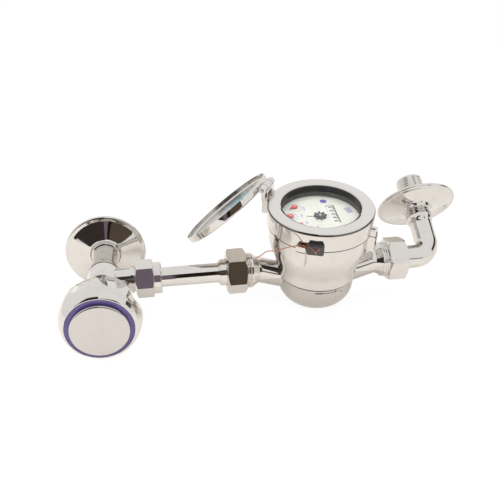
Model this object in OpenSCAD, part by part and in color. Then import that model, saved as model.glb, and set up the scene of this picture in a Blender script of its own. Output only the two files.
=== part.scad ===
// Wall-mounted water meter set: stop valve, inlet tube, dry-dial meter with an open lid, outlet elbow.
// Frame: origin on the inlet thread's axis in the wall plane, +X along the pipe to the outlet,
// +Y into the wall, +Z up. Lengths in millimetres, angles in degrees.

/* [Row] */
// Distance from the wall to the pipe axis
pipe_out = 48; // [46:0.5:54]
// Distance from the valve axis to the meter axis
meter_x = 162; // [158:1:190]
// Length of the meter between its two thread faces
meter_len = 130; // [126:1:140]
// Forward tilt of the meter about the pipe axis
meter_tilt = 6.4; // [0:0.1:12]
// Lift of the outlet leg above the horizontal
leg_lift = 33.6; // [0:0.1:40]
// Distance from the meter axis to the outlet leg
leg_x = 92.5; // [90:0.5:110]

/* [Wall fittings] */
// Radius of the half-inch wall thread
wall_thread_r = 10.48; // [10:0.01:11]
// Length of thread behind the wall plane
wall_thread_len = 22; // [8:0.5:32]
// Radius of a rosette
rosette_r = 31.7; // [28:0.1:36]
// Height of a rosette's rim
rosette_rim = 3.2; // [2.4:0.1:4]
// Height of a rosette's neck above the wall
rosette_neck = 8.5; // [7.5:0.1:12]
// Sheet thickness of a rosette
rosette_wall = 1.2; // [0.8:0.1:1.6]

/* [Stop valve] */
// Radius of the valve body's barrel
valve_r = 12.2; // [11.6:0.1:14]
// Bore through the valve inlet
inlet_bore_r = 5.5; // [4:0.1:6]
// Radius of the outlet branch
branch_r = 8.8; // [8:0.1:9]
// Length of the outlet branch from the valve axis
branch_len = 34; // [32:0.5:40]
// Lift of the valve disc between shut and open
disc_lift = 4; // [2:0.1:4.5]
// Greatest radius of the knob
knob_r = 28.4; // [26:0.1:32]
// Radius of the knob's back edge
knob_back_r = 19; // [17:0.1:21]
// Length of the knob's barrel
knob_len = 40; // [38:0.5:46]
// Number of finger flutes round the knob
flute_count = 8; // [6:1:10]
// Outer radius of the coloured knob ring
knob_ring_r = 23.4; // [22.8:0.1:24]
// Radius of the knob's front cap
knob_cap_r = 20; // [18:0.1:21]

/* [Pipework] */
// Outer radius of the inlet tube
tube_r = 7.5; // [7:0.1:8]
// Wall of the inlet tube
tube_wall = 1.2; // [0.8:0.1:1.6]
// Width across flats of the compression nut
small_nut_af = 25; // [24.6:0.1:28]
// Width across flats of a union nut
union_af = 30; // [29.6:0.1:33]
// Height of a union nut
union_h = 15; // [13:0.5:18]
// Radius of the three-quarter-inch meter thread
union_thread_r = 13.22; // [12.8:0.01:13.4]
// Thickness of a union gasket
gasket_t = 1.5; // [1:0.1:2.5]
// Outer radius of the outlet elbow
elbow_r = 9; // [8:0.1:9.4]
// Wall of the outlet elbow
elbow_wall = 2; // [1:0.1:2.5]
// Radius of the elbow's bend along its middle
bend_r = 12.5; // [11:0.1:16]

/* [Meter body] */
// Radius of the body's upper wall
body_r = 38; // [36.8:0.1:38.6]
// Radius of the lower bowl
bowl_r = 29.5; // [28:0.1:31]
// Depth of the bowl below the pipe axis
bowl_depth = 29; // [27:0.1:32]
// Radius of the measuring chamber
chamber_r = 20.5; // [19:0.1:21.5]
// Dip of the side branches towards the bowl
branch_dip = 19; // [14:0.5:24]
// Radius of a side branch
stub_r = 9.8; // [9:0.1:10.4]
// Bore of a side branch
stub_bore_r = 6.5; // [5:0.1:7]
// Height of the seam between body and bezel ring
seam_z = 39.6; // [38.6:0.1:41]
// Width of a seal ear
ear_w = 7; // [6:0.1:9]

/* [Bezel and lid] */
// Radius of the bezel ring
ring_r = 39.4; // [39:0.1:41]
// Height of the bezel ring's top above the pipe axis
ring_top = 54.2; // [53.4:0.1:57]
// Radius of the window opening
window_r = 29.6; // [28.6:0.1:30]
// Thickness of the window glass
glass_t = 2.8; // [2:0.1:3]
// Azimuth of the lid hinge round the meter
hinge_azimuth = 148; // [130:1:170]
// Distance of the hinge pin from the meter axis
hinge_r = 43; // [42.4:0.1:46]
// Opening angle of the lid
lid_open = 224.5; // [90:0.5:230]
// Radius of the lid
lid_r = 39.2; // [38:0.1:39.6]
// Height of the lid's rim
lid_h = 5.5; // [4.5:0.1:7]
// Radius of the hinge pin
hinge_pin_r = 1.3; // [1:0.05:1.6]

/* [Register] */
// Tooth module of the register's gears
gear_module = 0.36; // [0.34:0.01:0.37]
// Distance of the pointers from the dial's centre
pointer_ring = 21.75; // [21:0.05:22]
// Azimuth of the first pointer
pointer_azimuth = 138; // [136:0.5:140]
// Angle between two neighbouring pointers
pointer_step = 35.5; // [35.2:0.1:36]
// Radius of a number wheel
wheel_r = 4.8; // [4.4:0.05:4.9]
// Spacing of the number wheels along their shaft
wheel_pitch = 4.7; // [4.5:0.05:4.9]
// Radius of the star wheel
star_r = 4.9; // [4:0.1:6]
// Points of the star wheel
star_points = 8; // [6:1:12]
// Blades of the impeller
blade_count = 8; // [5:1:12]

/* [Hidden] */
$fn = 96;
// Gap between a plain fitted pair in one body
fit = 0.1;
// Gap of a shaft that turns in its bore
running = 0.05;
// Gap between curved faces that move past each other
sweep = 0.35;
// Overreach of a cut past the face it opens
over = 1;
function arc(cx, cy, r, from, to, steps) =
    [for (i = [0:steps]) let (a = from + (to - from) * i / steps) [cx + r * cos(a), cy + r * sin(a)]];
function bezier(p0, p1, p2, p3, steps) =
    [for (i = [1:steps - 1]) let (t = i / steps, s = 1 - t)
        s * s * s * p0 + 3 * s * s * t * p1 + 3 * s * t * t * p2 + t * t * t * p3];
function polar(r, a) = [r * cos(a), r * sin(a)];
// Point at distance ra from a and rb from b, on the left of the line from a to b
function meet(a, b, ra, rb) =
    let (d = norm(b - a), u = (b - a) / d, k = (ra * ra - rb * rb + d * d) / (2 * d))
    a + k * u + sqrt(max(0, ra * ra - k * k)) * [-u[1], u[0]];
function heading(a, b) = atan2(b[1] - a[1], b[0] - a[0]);

// Union joint, measured outwards from the meter axis
face_x = meter_len / 2;
collar_t = 1.5;
collar_r = union_thread_r - 0.8;
collar_x = face_x + gasket_t;
nut_seat_x = collar_x + collar_t + running;
nut_wall = 2.2;
nut_out_x = nut_seat_x + nut_wall;
nut_in_x = nut_out_x - union_h;
union_bore_r = union_thread_r + fit;
sleeve_r = tube_r + 2.7;
sleeve_len = 6;
outlet_nut_turn = -15;

// Stop valve, measured out from the wall
relief = 0.8;
neck_r = wall_thread_r - 0.9;
dome_from = pipe_out - 17;
dome_to = pipe_out - 6;
seat_w = pipe_out - 8;
barrel_end = pipe_out + 18;
cavity_r = valve_r - 3;
bonnet_skirt = pipe_out + 6.2;
bonnet_r = valve_r - 0.7;
bonnet_end = barrel_end + 7;
gland_r = 7;
gland_end = bonnet_end + 4;
spindle_r = 4;
spindle_thread_r = 2.6;
collar_spindle_r = 5.5;
collar_from = barrel_end - 4;
collar_to = barrel_end - 2;
stem_r = 5.95;
stem_len = 12;
disc_r = 7.8;
disc_t = 2.5;
washer_t = 2;
washer_r = 7.2;
disc_open_w = seat_w + running + disc_lift;
knob_back = barrel_end + 2.2;
knob_front = knob_back + knob_len;
knob_hollow_r = bonnet_r + 1.8;
knob_hollow = gland_end + 1;
square_w = 6.2;
square_end = knob_front - 10;
screw_r = 1.9;
screw_depth = 6;
cap_seat = knob_front - 5;
cap_h = 8;
flute_r = 30;
flute_depth = 1.25;
branch_flange_r = branch_r + 1.4;
branch_flange_x = 20.5;
branch_flange_t = 2;
branch_thread_r = branch_r + 0.2;
small_nut_x = branch_flange_x + branch_flange_t + 1.3;
small_nut_h = 13.7;
small_skirt_r = small_nut_af / 2 - 0.5;
small_skirt_h = 5.5;
socket_depth = 8;
olive_len = 3.4;

// Meter body, measured from the pipe axis along the dial's normal
bowl_round = 18;
step_z = -1.5;
flare_z = 4.5;
wall_z = 29;
ledge_z = 23;
seat_z = 12;
chamber_floor = 9 - bowl_depth;
spigot_r = ring_r - 3.9;
spigot_top = seam_z + 6.4;
upper_bore_r = spigot_r - 2;
seat_bore_r = upper_bore_r - 5;
seam_gap = 0.4;
thread_from = face_x - 14.5;
cone_len = 5;
stub_len = 28;
strainer_r = stub_bore_r + 1.4;
strainer_t = 2;
ear_r = ring_r + 3.6;
ear_gap = 0.2;
ear_top = 4.4;
ear_drop = 12;
ear_hole_r = 1;
ear_azimuths = [for (k = [1:3]) hinge_azimuth + 90 * k];

// Wet end
pin_r = 1.2;
pin_top = 12;
hub_r = 4.5;
blade_r = chamber_r - 2.5;
blade_t = 1.5;
blade_from = chamber_floor + 4;
blade_to = -2;
magnet_r = 6;
magnet_from = 16;
magnet_to = 20.5;
plate_t = 3.5;
thimble_r = magnet_r + 0.8;
thimble_wall = 1.2;
thimble_top = magnet_to + 1;
clamp_h = 4.5;
clamp_in_r = seat_bore_r - 6;

// Register
cup_r = upper_bore_r - 2.1;
cup_wall = 1.5;
cup_in_r = cup_r - cup_wall;
cup_floor_t = 2.2;
cup_top = ring_top - 7.8;
base_z = ledge_z + 8;
base_t = 1.4;
level_z = base_z + base_t + 0.6;
level_step = 1.6;
gear_t = 1.2;
dial_z = base_z + 10.5;
dial_t = 1;
dial_r = cup_in_r - 0.3;
arbor_r = 0.6;
spindle_fine_r = 0.8;
pivot = running;
hand_z = dial_z + dial_t + 0.6;
hand_t = 0.9;
hand_len = 4.6;
hand_hub_r = 2.1;
hand_root = 1.5;
hand_tip = 0.25;
star_t = 1.2;
post_azimuths = [-76.5, 18.4, 90];
post_ring = cup_in_r - 4.2;
pillar_ring = cup_in_r - 5.9;
pillar_r = 2;
post_r = 1.5;
counter_x = 10.5;
counter_y = 3;
wheel_count = 5;
wheel_w = wheel_pitch - 0.3;
wheel_z = dial_z + dial_t - 0.3 - wheel_r;
shaft_r = 1;
cheek_t = 2;
counter_half = wheel_count * wheel_pitch / 2;
glass_r = cup_r - 0.1;
gasket_h = 1.2;
gasket_lip = 0.7;
bezel_bore_r = spigot_r + 0.3;
lip_z = cup_top + glass_t + gasket_h;

// Gear train: teeth, then the arbors' places on the dial
pinion_teeth = 9;
centre_teeth = 9;
wheel_a_teeth = 36;
pinion_a_teeth = 11;
wheel_b_teeth = 33;
wheel_i_teeth = 27;
wheel_p_teeth = 30;
pressure = 25;
wheel_addendum = 0.75;
pinion_addendum = 0.9;
idle_top = dial_z;
hand_top = hand_z + hand_t;
hand_turns = [205, 160, 30, 100];
arbor_a_azimuth = 128;
function level(n) = level_z + (n - 1) * level_step;
function pitch_r(teeth) = gear_module * teeth / 2;
function mesh(a, b) = pitch_r(a) + pitch_r(b);
arbor_a = polar(mesh(centre_teeth, wheel_a_teeth), arbor_a_azimuth);
pointer_at = [for (i = [0:3]) polar(pointer_ring, pointer_azimuth + i * pointer_step)];
arbor_b = meet(pointer_at[0], arbor_a, mesh(pinion_teeth, wheel_p_teeth), mesh(pinion_a_teeth, wheel_b_teeth));
idler_at = [for (i = [0:2])
    meet(pointer_at[i], pointer_at[i + 1],
        mesh(pinion_teeth, wheel_i_teeth), mesh(pinion_teeth, wheel_p_teeth))];
// Turn of a driven wheel at which its gap faces a pinion whose first tooth points along +X
function seated(from, to, pinion, wheel) =
    let (h = heading(from, to)) h + 180 - 180 / wheel + h * pinion / wheel;

// Lid hinge
hinge_z = ring_top + 5.8;
lid_gap = 0.3;
lid_wall = 1.4;
knuckle_r = 2.9;
knuckle_half = 4;
lug_gap = 0.35;
hinge_half = 9;
bracket_r = hinge_r - knuckle_r + 0.5;
bracket_z = seam_z + 2;

// Seal wire route on the front of the meter, from its free tail to the seal
wire_r = 0.45;
wire_route = [
    [-54, -36, 37.5], [-50, -36, 39.5], [-46, -36, 42.4], [-41, -36.3, 42.6], [-36, -36.6, 43.8],
    [-31, -36.4, 44.9], [-26.5, -35.7, 44.9], [-22, -35.2, 44.5], [-20.2, -36.6, 44.5], [-18.6, -37.8, 44.5]];
seal_w = 12;
seal_h = 7.2;
seal_t = 4;
seal_azimuth = 252;

// Places: z leaves the wall; z runs along the pipe; the meter's own frame; y runs along the outlet leg
module from_wall() {
    rotate([90, 0, 0]) children();
}
module along_pipe(x) {
    translate([x, -pipe_out, 0]) rotate([0, 90, 0]) children();
}
module in_meter() {
    translate([meter_x, -pipe_out, 0]) rotate([meter_tilt, 0, 0]) children();
}
module in_outlet() {
    translate([meter_x, -pipe_out, 0]) rotate([leg_lift, 0, 0]) children();
}
module at_azimuth(a) {
    rotate([0, 0, a]) children();
}

// Ring or disc between two heights, with an optional bore
module disc(r, from, to, bore = 0) {
    difference() {
        translate([0, 0, from]) cylinder(r = r, h = to - from);
        if (bore > 0) translate([0, 0, from - over]) cylinder(r = bore, h = to - from + 2 * over);
    }
}

// Hexagon with turned-off corners, flat side towards +X, standing on z = 0
module hexagon(af, h) {
    corner_r = af / 2 / cos(30);
    face_r = af / 2 - 0.3;
    chamfer = (corner_r - face_r) * tan(30);
    intersection() {
        rotate([0, 0, 30]) cylinder(r = corner_r, h = h, $fn = 6);
        rotate_extrude() polygon([[0, 0], [face_r, 0], [corner_r, chamfer], [corner_r, h - chamfer],
            [face_r, h], [0, h]]);
    }
}

// Wall cover: rolled rim, shallow cone and a short neck round the pipe
module rosette(bore) {
    neck_out = bore + 1.6;
    foot = neck_out + 2;
    rim_round = rosette_rim / 2;
    face_r = rosette_r - rim_round;
    cone_top = rosette_rim + 2;
    rotate_extrude() polygon(concat(
        [[face_r - 1, 0]],
        arc(face_r, rim_round, rim_round, -90, 90, 10),
        [[face_r - 2, rosette_rim], [foot, cone_top]],
        arc(foot, cone_top + 1.6, 1.6, 265, 190, 4),
        arc(neck_out - 0.7, rosette_neck - 0.7, 0.7, 0, 90, 4),
        [[bore, rosette_neck], [bore, cone_top - rosette_wall],
        [face_r - 2, rosette_rim - rosette_wall], [face_r - 1, rosette_rim - rosette_wall]]));
}

module inlet_rosette() {
    color("silver") from_wall() rosette(neck_r + fit);
}

module valve_body() {
    color("gainsboro") difference() {
        union() {
            from_wall() rotate_extrude() polygon(concat(
                [[0, -wall_thread_len], [wall_thread_r, -wall_thread_len], [wall_thread_r, 0]],
                [[neck_r, relief], [neck_r, dome_from]],
                bezier([neck_r, dome_from], [valve_r - 0.6, dome_from + 1],
                    [valve_r, dome_from + 5], [valve_r, dome_to], 8),
                [[valve_r, dome_to], [valve_r, barrel_end], [0, barrel_end]]));
            along_pipe(0) {
                cylinder(r = branch_r, h = branch_flange_x + branch_flange_t);
                disc(branch_flange_r, branch_flange_x, branch_flange_x + branch_flange_t);
                disc(branch_thread_r, branch_flange_x, branch_len);
            }
        }
        from_wall() {
            translate([0, 0, -wall_thread_len - over])
                cylinder(r = inlet_bore_r, h = wall_thread_len + over + seat_w + over);
            translate([0, 0, seat_w - 1]) difference() {
                cylinder(r = cavity_r, h = barrel_end - seat_w + 1 + over);
                cylinder(r = washer_r - 0.4, h = 1);
            }
        }
        along_pipe(0) {
            cylinder(r = stub_bore_r - 0.5, h = branch_len + over);
            translate([0, 0, branch_len - socket_depth]) cylinder(r = tube_r + fit, h = socket_depth + over);
        }
    }
}

module valve_bonnet() {
    color("goldenrod") from_wall() difference() {
        union() {
            disc(cavity_r - fit, bonnet_skirt, barrel_end + over);
            translate([0, 0, barrel_end]) hexagon(2 * bonnet_r - 1.6, bonnet_end - barrel_end);
            disc(gland_r, barrel_end + 2 * over, gland_end);
        }
        translate([0, 0, bonnet_skirt - over])
            cylinder(r = stem_r + running, h = collar_to + running - bonnet_skirt + over);
        translate([0, 0, collar_from]) cylinder(r = spindle_r + running, h = gland_end - collar_from + over);
    }
}

module valve_spindle() {
    color("darkgoldenrod") from_wall() {
        disc(spindle_thread_r, disc_open_w + washer_t + disc_t + 1, collar_from);
        disc(collar_spindle_r, collar_from, collar_to);
        disc(spindle_r, collar_to, knob_hollow);
        difference() {
            translate([-square_w / 2, -square_w / 2, knob_hollow])
                cube([square_w, square_w, square_end - knob_hollow]);
            translate([0, 0, square_end - screw_depth]) cylinder(r = screw_r + fit, h = screw_depth + over);
        }
    }
}

module valve_disc() {
    head = disc_open_w + washer_t;
    color("goldenrod") from_wall() difference() {
        union() {
            disc(disc_r, head, head + disc_t);
            disc(stem_r, head + disc_t, head + disc_t + stem_len);
        }
        translate([0, 0, head + disc_t])
            cylinder(r = spindle_thread_r + running, h = stem_len + over);
    }
}

module valve_washer() {
    color("black") from_wall() disc(washer_r, disc_open_w, disc_open_w + washer_t);
}

// Barrel of the knob from its back edge to the ring at its front
module knob_barrel() {
    widest = knob_back + 0.66 * knob_len;
    rotate_extrude() polygon(concat(
        [[0, knob_back], [knob_back_r - 0.8, knob_back], [knob_back_r, knob_back + 0.8]],
        bezier([knob_back_r, knob_back + 0.8], [knob_r - 3.2, knob_back + 12],
            [knob_r, widest - 9], [knob_r, widest], 10),
        [[knob_r, widest]],
        bezier([knob_r, widest], [knob_r, widest + 7],
            [knob_ring_r + 2.6, knob_front - 1.2], [knob_ring_r + 0.5, knob_front], 8),
        [[knob_ring_r + 0.5, knob_front], [0, knob_front]]));
}

module knob() {
    rise = knob_r - knob_back_r;
    run = 0.66 * knob_len + 2;
    slope = atan(rise / run);
    color("silver") from_wall() difference() {
        knob_barrel();
        for (i = [0:flute_count - 1])
            rotate([0, 0, 90 + 180 / flute_count + i * 360 / flute_count])
                translate([knob_back_r - flute_depth + flute_r / cos(slope), 0, knob_back])
                    rotate([0, slope, 0]) translate([0, 0, -knob_len]) cylinder(r = flute_r, h = 3 * knob_len);
        translate([0, 0, knob_back - over]) cylinder(r = knob_hollow_r, h = knob_hollow - knob_back + over);
        translate([-square_w / 2 - fit, -square_w / 2 - fit, knob_hollow - over])
            cube([square_w + 2 * fit, square_w + 2 * fit, square_end - knob_hollow + over]);
        translate([0, 0, square_end - over]) cylinder(r = screw_r + fit, h = knob_front - square_end);
        translate([0, 0, cap_seat]) cylinder(r = knob_ring_r, h = knob_front - cap_seat + over);
    }
}

module knob_ring() {
    color("slateblue") from_wall() disc(knob_ring_r - fit, cap_seat, knob_front - 0.3, knob_cap_r + fit);
}

module knob_cap() {
    edge = 1.2;
    top = cap_seat + cap_h;
    color("silver") from_wall() rotate_extrude() polygon(concat(
        [[0, cap_seat + 2], [knob_cap_r - 3, cap_seat + 2], [knob_cap_r - 3, cap_seat], [knob_cap_r, cap_seat]],
        arc(knob_cap_r - edge, top - edge, edge, 0, 90, 6),
        [[0, top]]));
}

module knob_screw() {
    color("dimgray") from_wall() {
        disc(screw_r, square_end - screw_depth, cap_seat);
        disc(3.4, cap_seat, cap_seat + 1.6);
    }
}

module compression_nut() {
    color("gainsboro") along_pipe(small_nut_x) difference() {
        union() {
            hexagon(small_nut_af, small_nut_h);
            rotate_extrude() polygon([[0, small_nut_h - 1], [small_skirt_r, small_nut_h - 1],
                [small_skirt_r, small_nut_h + small_skirt_h - 0.8],
                [small_skirt_r - 0.8, small_nut_h + small_skirt_h], [0, small_nut_h + small_skirt_h]]);
        }
        translate([0, 0, -over])
            cylinder(r = branch_thread_r + fit, h = branch_len + olive_len + fit - small_nut_x + over);
        cylinder(r = tube_r + fit, h = small_nut_h + small_skirt_h + over);
    }
}

module compression_ring() {
    color("goldenrod") along_pipe(branch_len) rotate_extrude() polygon([
        [tube_r + fit / 2, 0], [branch_thread_r - 0.6, 0], [branch_thread_r, olive_len / 2],
        [branch_thread_r - 0.6, olive_len], [tube_r + fit / 2, olive_len]]);
}

module inlet_tube() {
    bore = tube_r - tube_wall;
    start = branch_len - socket_depth + fit;
    end = meter_x - collar_x;
    sleeve = meter_x - nut_out_x - sleeve_len;
    color("silver") along_pipe(0) rotate_extrude() polygon([
        [bore, start], [tube_r, start], [tube_r, sleeve], [sleeve_r - 1.2, sleeve],
        [sleeve_r - 1.2, sleeve + 1.4], [sleeve_r, sleeve + 1.4], [sleeve_r, end - collar_t],
        [collar_r, end - collar_t], [collar_r, end], [bore, end]]);
}

module union_gasket(bore) {
    disc(collar_r, face_x, collar_x, bore);
}

module inlet_gasket() {
    color("dimgray") along_pipe(meter_x) mirror([0, 0, 1]) union_gasket(stub_bore_r);
}

// Union nut over a thread that starts at the meter's face; the pipe leaves through its wall
module union_nut(pipe_r) {
    difference() {
        translate([0, 0, nut_in_x]) hexagon(union_af, union_h);
        translate([0, 0, nut_in_x - over]) cylinder(r = union_bore_r, h = nut_seat_x - nut_in_x + over);
        translate([0, 0, nut_in_x]) cylinder(r = pipe_r + sweep, h = union_h + over);
    }
}

module inlet_union_nut() {
    color("gainsboro") along_pipe(meter_x) rotate([0, 0, meter_tilt]) mirror([0, 0, 1]) union_nut(sleeve_r);
}

module inlet_strainer() {
    hole_r = 1.1;
    ring = 3.9;
    color("whitesmoke") along_pipe(meter_x - face_x) difference() {
        disc(strainer_r - fit, 0, strainer_t);
        translate([0, 0, -over]) {
            cylinder(r = hole_r, h = strainer_t + 2 * over);
            for (i = [0:7])
                rotate([0, 0, i * 45]) translate([ring, 0, 0]) cylinder(r = hole_r, h = strainer_t + 2 * over);
        }
    }
}

// Outside of the meter body: bowl, step, flare, upper wall and the spigot inside the bezel
module body_shell() {
    round_z = bowl_round - bowl_depth;
    rotate_extrude() polygon(concat(
        [[0, -bowl_depth]],
        arc(bowl_r - bowl_round, round_z, bowl_round, -90, 0, 12),
        [[bowl_r + 0.2, step_z - 0.6], [bowl_r + 1.4, step_z], [bowl_r + 1.8, flare_z]],
        bezier([bowl_r + 1.8, flare_z], [bowl_r + 1.9, flare_z + 5.5],
            [body_r - 0.1, wall_z - 9], [body_r, wall_z], 12),
        [[body_r, wall_z], [body_r, seam_z - seam_gap], [spigot_r, seam_z - seam_gap],
        [spigot_r, spigot_top], [0, spigot_top]]));
}

// One threaded branch, from its thread face down its dip into the bowl
module branch(r, end_r, cone) {
    elbow_x = thread_from - cone_len;
    translate([thread_from, 0, 0]) rotate([0, 90, 0]) cylinder(r = end_r, h = face_x - thread_from);
    translate([elbow_x, 0, 0]) rotate([0, 90, 0]) cylinder(r1 = r, r2 = cone, h = cone_len);
    translate([elbow_x, 0, 0]) sphere(r = r + fit);
    translate([elbow_x, 0, 0]) rotate([0, -90 - branch_dip, 0]) cylinder(r = r, h = stub_len);
}

module both_branches(r, end_r, cone) {
    branch(r, end_r, cone);
    mirror([1, 0, 0]) branch(r, end_r, cone);
}

// Raised flow arrow on the bowl's front
module flow_arrow() {
    shaft = 2.2;
    head = 3.4;
    from = -7;
    neck = 9;
    tip = 15;
    mid = -7.5;
    raised = 0.5;
    intersection() {
        rotate([90, 0, 0]) linear_extrude(bowl_r + 5) translate([0, mid])
            polygon([[from, -shaft], [neck, -shaft], [neck, -head], [tip, 0], [neck, head], [neck, shaft],
                [from, shaft]]);
        rotate_extrude() polygon([[0, mid - 5], [bowl_r + 0.15 + raised, mid - 5],
            [bowl_r + 0.2 + raised, step_z - 0.8], [0, step_z - 0.8]]);
    }
}

module seal_ears(from, to, inner, out) {
    for (a = ear_azimuths)
        at_azimuth(a) difference() {
            translate([inner, -ear_w / 2, from]) cube([out - inner, ear_w, to - from]);
            translate([ear_r - 2.4, 0, from - over]) cylinder(r = ear_hole_r, h = to - from + 2 * over);
        }
}

module meter_body() {
    color("gainsboro") in_meter() difference() {
        union() {
            body_shell();
            both_branches(stub_r, union_thread_r, union_thread_r - 0.6);
            seal_ears(seam_z - seam_gap - ear_drop, seam_z - seam_gap, body_r - 2.5, ear_r);
            flow_arrow();
        }
        rotate_extrude() polygon([
            [0, chamber_floor], [chamber_r - 4, chamber_floor], [chamber_r, chamber_floor + 6],
            [chamber_r, seat_z], [seat_bore_r, seat_z], [seat_bore_r, ledge_z], [upper_bore_r, ledge_z],
            [upper_bore_r, spigot_top + over], [0, spigot_top + over]]);
        both_branches(stub_bore_r, stub_bore_r, stub_bore_r);
        translate([face_x, 0, 0]) rotate([0, 90, 0]) cylinder(r = stub_bore_r, h = over);
        translate([-face_x - over, 0, 0]) rotate([0, 90, 0]) cylinder(r = strainer_r, h = strainer_t + over);
        translate([0, 0, chamber_floor - 4]) cylinder(r = pin_r + fit / 2, h = 4 + over);
    }
}

module impeller_pin() {
    color("silver") in_meter() disc(pin_r, chamber_floor - 4, pin_top);
}

module impeller() {
    color("aliceblue") in_meter() difference() {
        union() {
            disc(hub_r, blade_from - 1, magnet_from);
            for (i = [0:blade_count - 1])
                at_azimuth(i * 360 / blade_count)
                    translate([0, -blade_t / 2, blade_from]) cube([blade_r, blade_t, blade_to - blade_from]);
        }
        translate([0, 0, blade_from - 1 - over])
            cylinder(r = pin_r + running, h = pin_top + 0.6 - blade_from + 1 + over);
    }
}

module impeller_magnet() {
    color("dimgray") in_meter() disc(magnet_r, magnet_from, magnet_to);
}

module pressure_plate() {
    color("white") in_meter() rotate_extrude() polygon([
        [thimble_r, seat_z], [seat_bore_r - fit, seat_z], [seat_bore_r - fit, seat_z + plate_t],
        [thimble_r + thimble_wall, seat_z + plate_t], [thimble_r + thimble_wall, thimble_top + thimble_wall],
        [0, thimble_top + thimble_wall], [0, thimble_top], [thimble_r, thimble_top]]);
}

module clamp_ring() {
    color("goldenrod") in_meter()
        disc(seat_bore_r - fit, seat_z + plate_t, seat_z + plate_t + clamp_h, clamp_in_r);
}

module register_cup() {
    color("dimgray") in_meter() {
        rotate_extrude() polygon([
            [spindle_fine_r + pivot, ledge_z], [cup_r, ledge_z], [cup_r, cup_top], [cup_in_r, cup_top],
            [cup_in_r, ledge_z + cup_floor_t], [spindle_fine_r + pivot, ledge_z + cup_floor_t]]);
        for (i = [0:2])
            at_azimuth(i * 120) translate([pillar_ring, 0, ledge_z + cup_floor_t])
                cylinder(r = pillar_r, h = base_z - ledge_z - cup_floor_t);
    }
}

// Pivot holes of all arbors through a plate
module pivot_holes(from, h, idle_r, hand_r, centre_r) {
    translate([0, 0, from]) {
        cylinder(r = centre_r, h = h);
        if (idle_r > 0)
            for (p = concat([arbor_a, arbor_b], idler_at))
                translate([p[0], p[1], 0]) cylinder(r = idle_r, h = h);
        for (p = pointer_at)
            translate([p[0], p[1], 0]) cylinder(r = hand_r, h = h);
    }
}

module base_plate() {
    cheek_top = wheel_z + 2;
    color("whitesmoke") in_meter() difference() {
        union() {
            disc(cup_in_r - fit, base_z, base_z + base_t);
            for (a = post_azimuths)
                at_azimuth(a) translate([post_ring, 0, base_z]) cylinder(r = post_r, h = dial_z - base_z);
            for (s = [-1, 1])
                translate([counter_x - 1.6, counter_y + s * (counter_half + cheek_t / 2 + 0.2) - cheek_t / 2,
                    base_z]) cube([3.2, cheek_t, cheek_top - base_z]);
        }
        pivot_holes(base_z - over, base_t + 2 * over, arbor_r + pivot, arbor_r + pivot, spindle_fine_r + pivot);
        counter_axis() cylinder(r = shaft_r + fit / 5, h = 2 * counter_half + 6 * cheek_t, center = true);
    }
}

module counter_axis() {
    translate([counter_x, counter_y, wheel_z]) rotate([90, 0, 0]) children();
}

// Spur gear on z = 0: straight-cut tooth flanks through root, pitch and tip
module gear(teeth, turn, addendum, h = gear_t) {
    rp = pitch_r(teeth);
    rb = rp * cos(pressure);
    tip = rp + addendum * gear_module;
    root = rp - 1.2 * gear_module;
    play = 0.05;
    function roll(r) = r <= rb ? 0 : let (t = sqrt(r * r / rb / rb - 1)) t * 180 / PI - atan(t);
    half = 90 / teeth - play / rp * 90 / PI + roll(rp);
    flank = [for (r = [max(root + 0.05, rb), (rb + rp) / 2, rp, (rp + tip) / 2, tip]) [r, half - roll(r)]];
    rotate([0, 0, turn]) linear_extrude(h) polygon([for (i = [0:teeth - 1]) let (a = i * 360 / teeth)
        each concat(
            [polar(root, a - half)],
            [for (f = flank) polar(f[0], a - f[1])],
            [for (k = [len(flank) - 1:-1:0]) polar(flank[k][0], a + flank[k][1])],
            [polar(root, a + half)])]);
}

// Arbor with one driven wheel and one pinion, moulded in one piece
module arbor(at, wheel, wheel_level, turn, pinion_level, top, pinion = pinion_teeth) {
    translate([at[0], at[1], 0]) {
        disc(arbor_r, base_z, top);
        translate([0, 0, level(wheel_level)]) gear(wheel, turn, wheel_addendum);
        if (pinion_level > 0) translate([0, 0, level(pinion_level)]) gear(pinion, 0, pinion_addendum);
    }
}

module centre_arbor() {
    color("ivory") in_meter() {
        disc(spindle_fine_r, ledge_z + 0.4, hand_z + star_t);
        translate([0, 0, level(1)]) gear(centre_teeth, 0, pinion_addendum);
    }
}

module follower_magnet() {
    color("dimgray") in_meter()
        disc(magnet_r + 1, ledge_z + cup_floor_t + 0.8, base_z - 0.8, spindle_fine_r + fit / 5);
}

module star_wheel() {
    inner = 0.62 * star_r;
    color("darkslategray") in_meter() translate([0, 0, hand_z]) difference() {
        linear_extrude(star_t) polygon([for (i = [0:star_points - 1]) let (a = 360 * i / star_points,
            w = 360 / star_points) each [polar(inner, a - 0.3 * w), polar(star_r, a - 0.14 * w),
            polar(star_r, a + 0.14 * w), polar(inner, a + 0.3 * w)]]);
        translate([0, 0, -over]) cylinder(r = spindle_fine_r + fit / 5, h = star_t + 2 * over);
    }
}

module gear_a() {
    color("ivory") in_meter() arbor(arbor_a, wheel_a_teeth, 1,
        seated([0, 0], arbor_a, centre_teeth, wheel_a_teeth), 2, idle_top, pinion_a_teeth);
}

module gear_b() {
    color("ivory") in_meter() arbor(arbor_b, wheel_b_teeth, 2,
        seated(arbor_a, arbor_b, pinion_a_teeth, wheel_b_teeth), 3, idle_top);
}

// Decade train: pointers 1 and 3 carry their wheel on level 3, pointers 2 and 4 on level 5
module pointer_gear(n) {
    from = n == 0 ? arbor_b : idler_at[n - 1];
    odd = n % 2;
    color("ivory") in_meter() arbor(pointer_at[n], wheel_p_teeth, 3 + 2 * odd,
        seated(from, pointer_at[n], pinion_teeth, wheel_p_teeth), n == 3 ? 0 : 4 - 2 * odd, hand_top);
}

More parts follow.
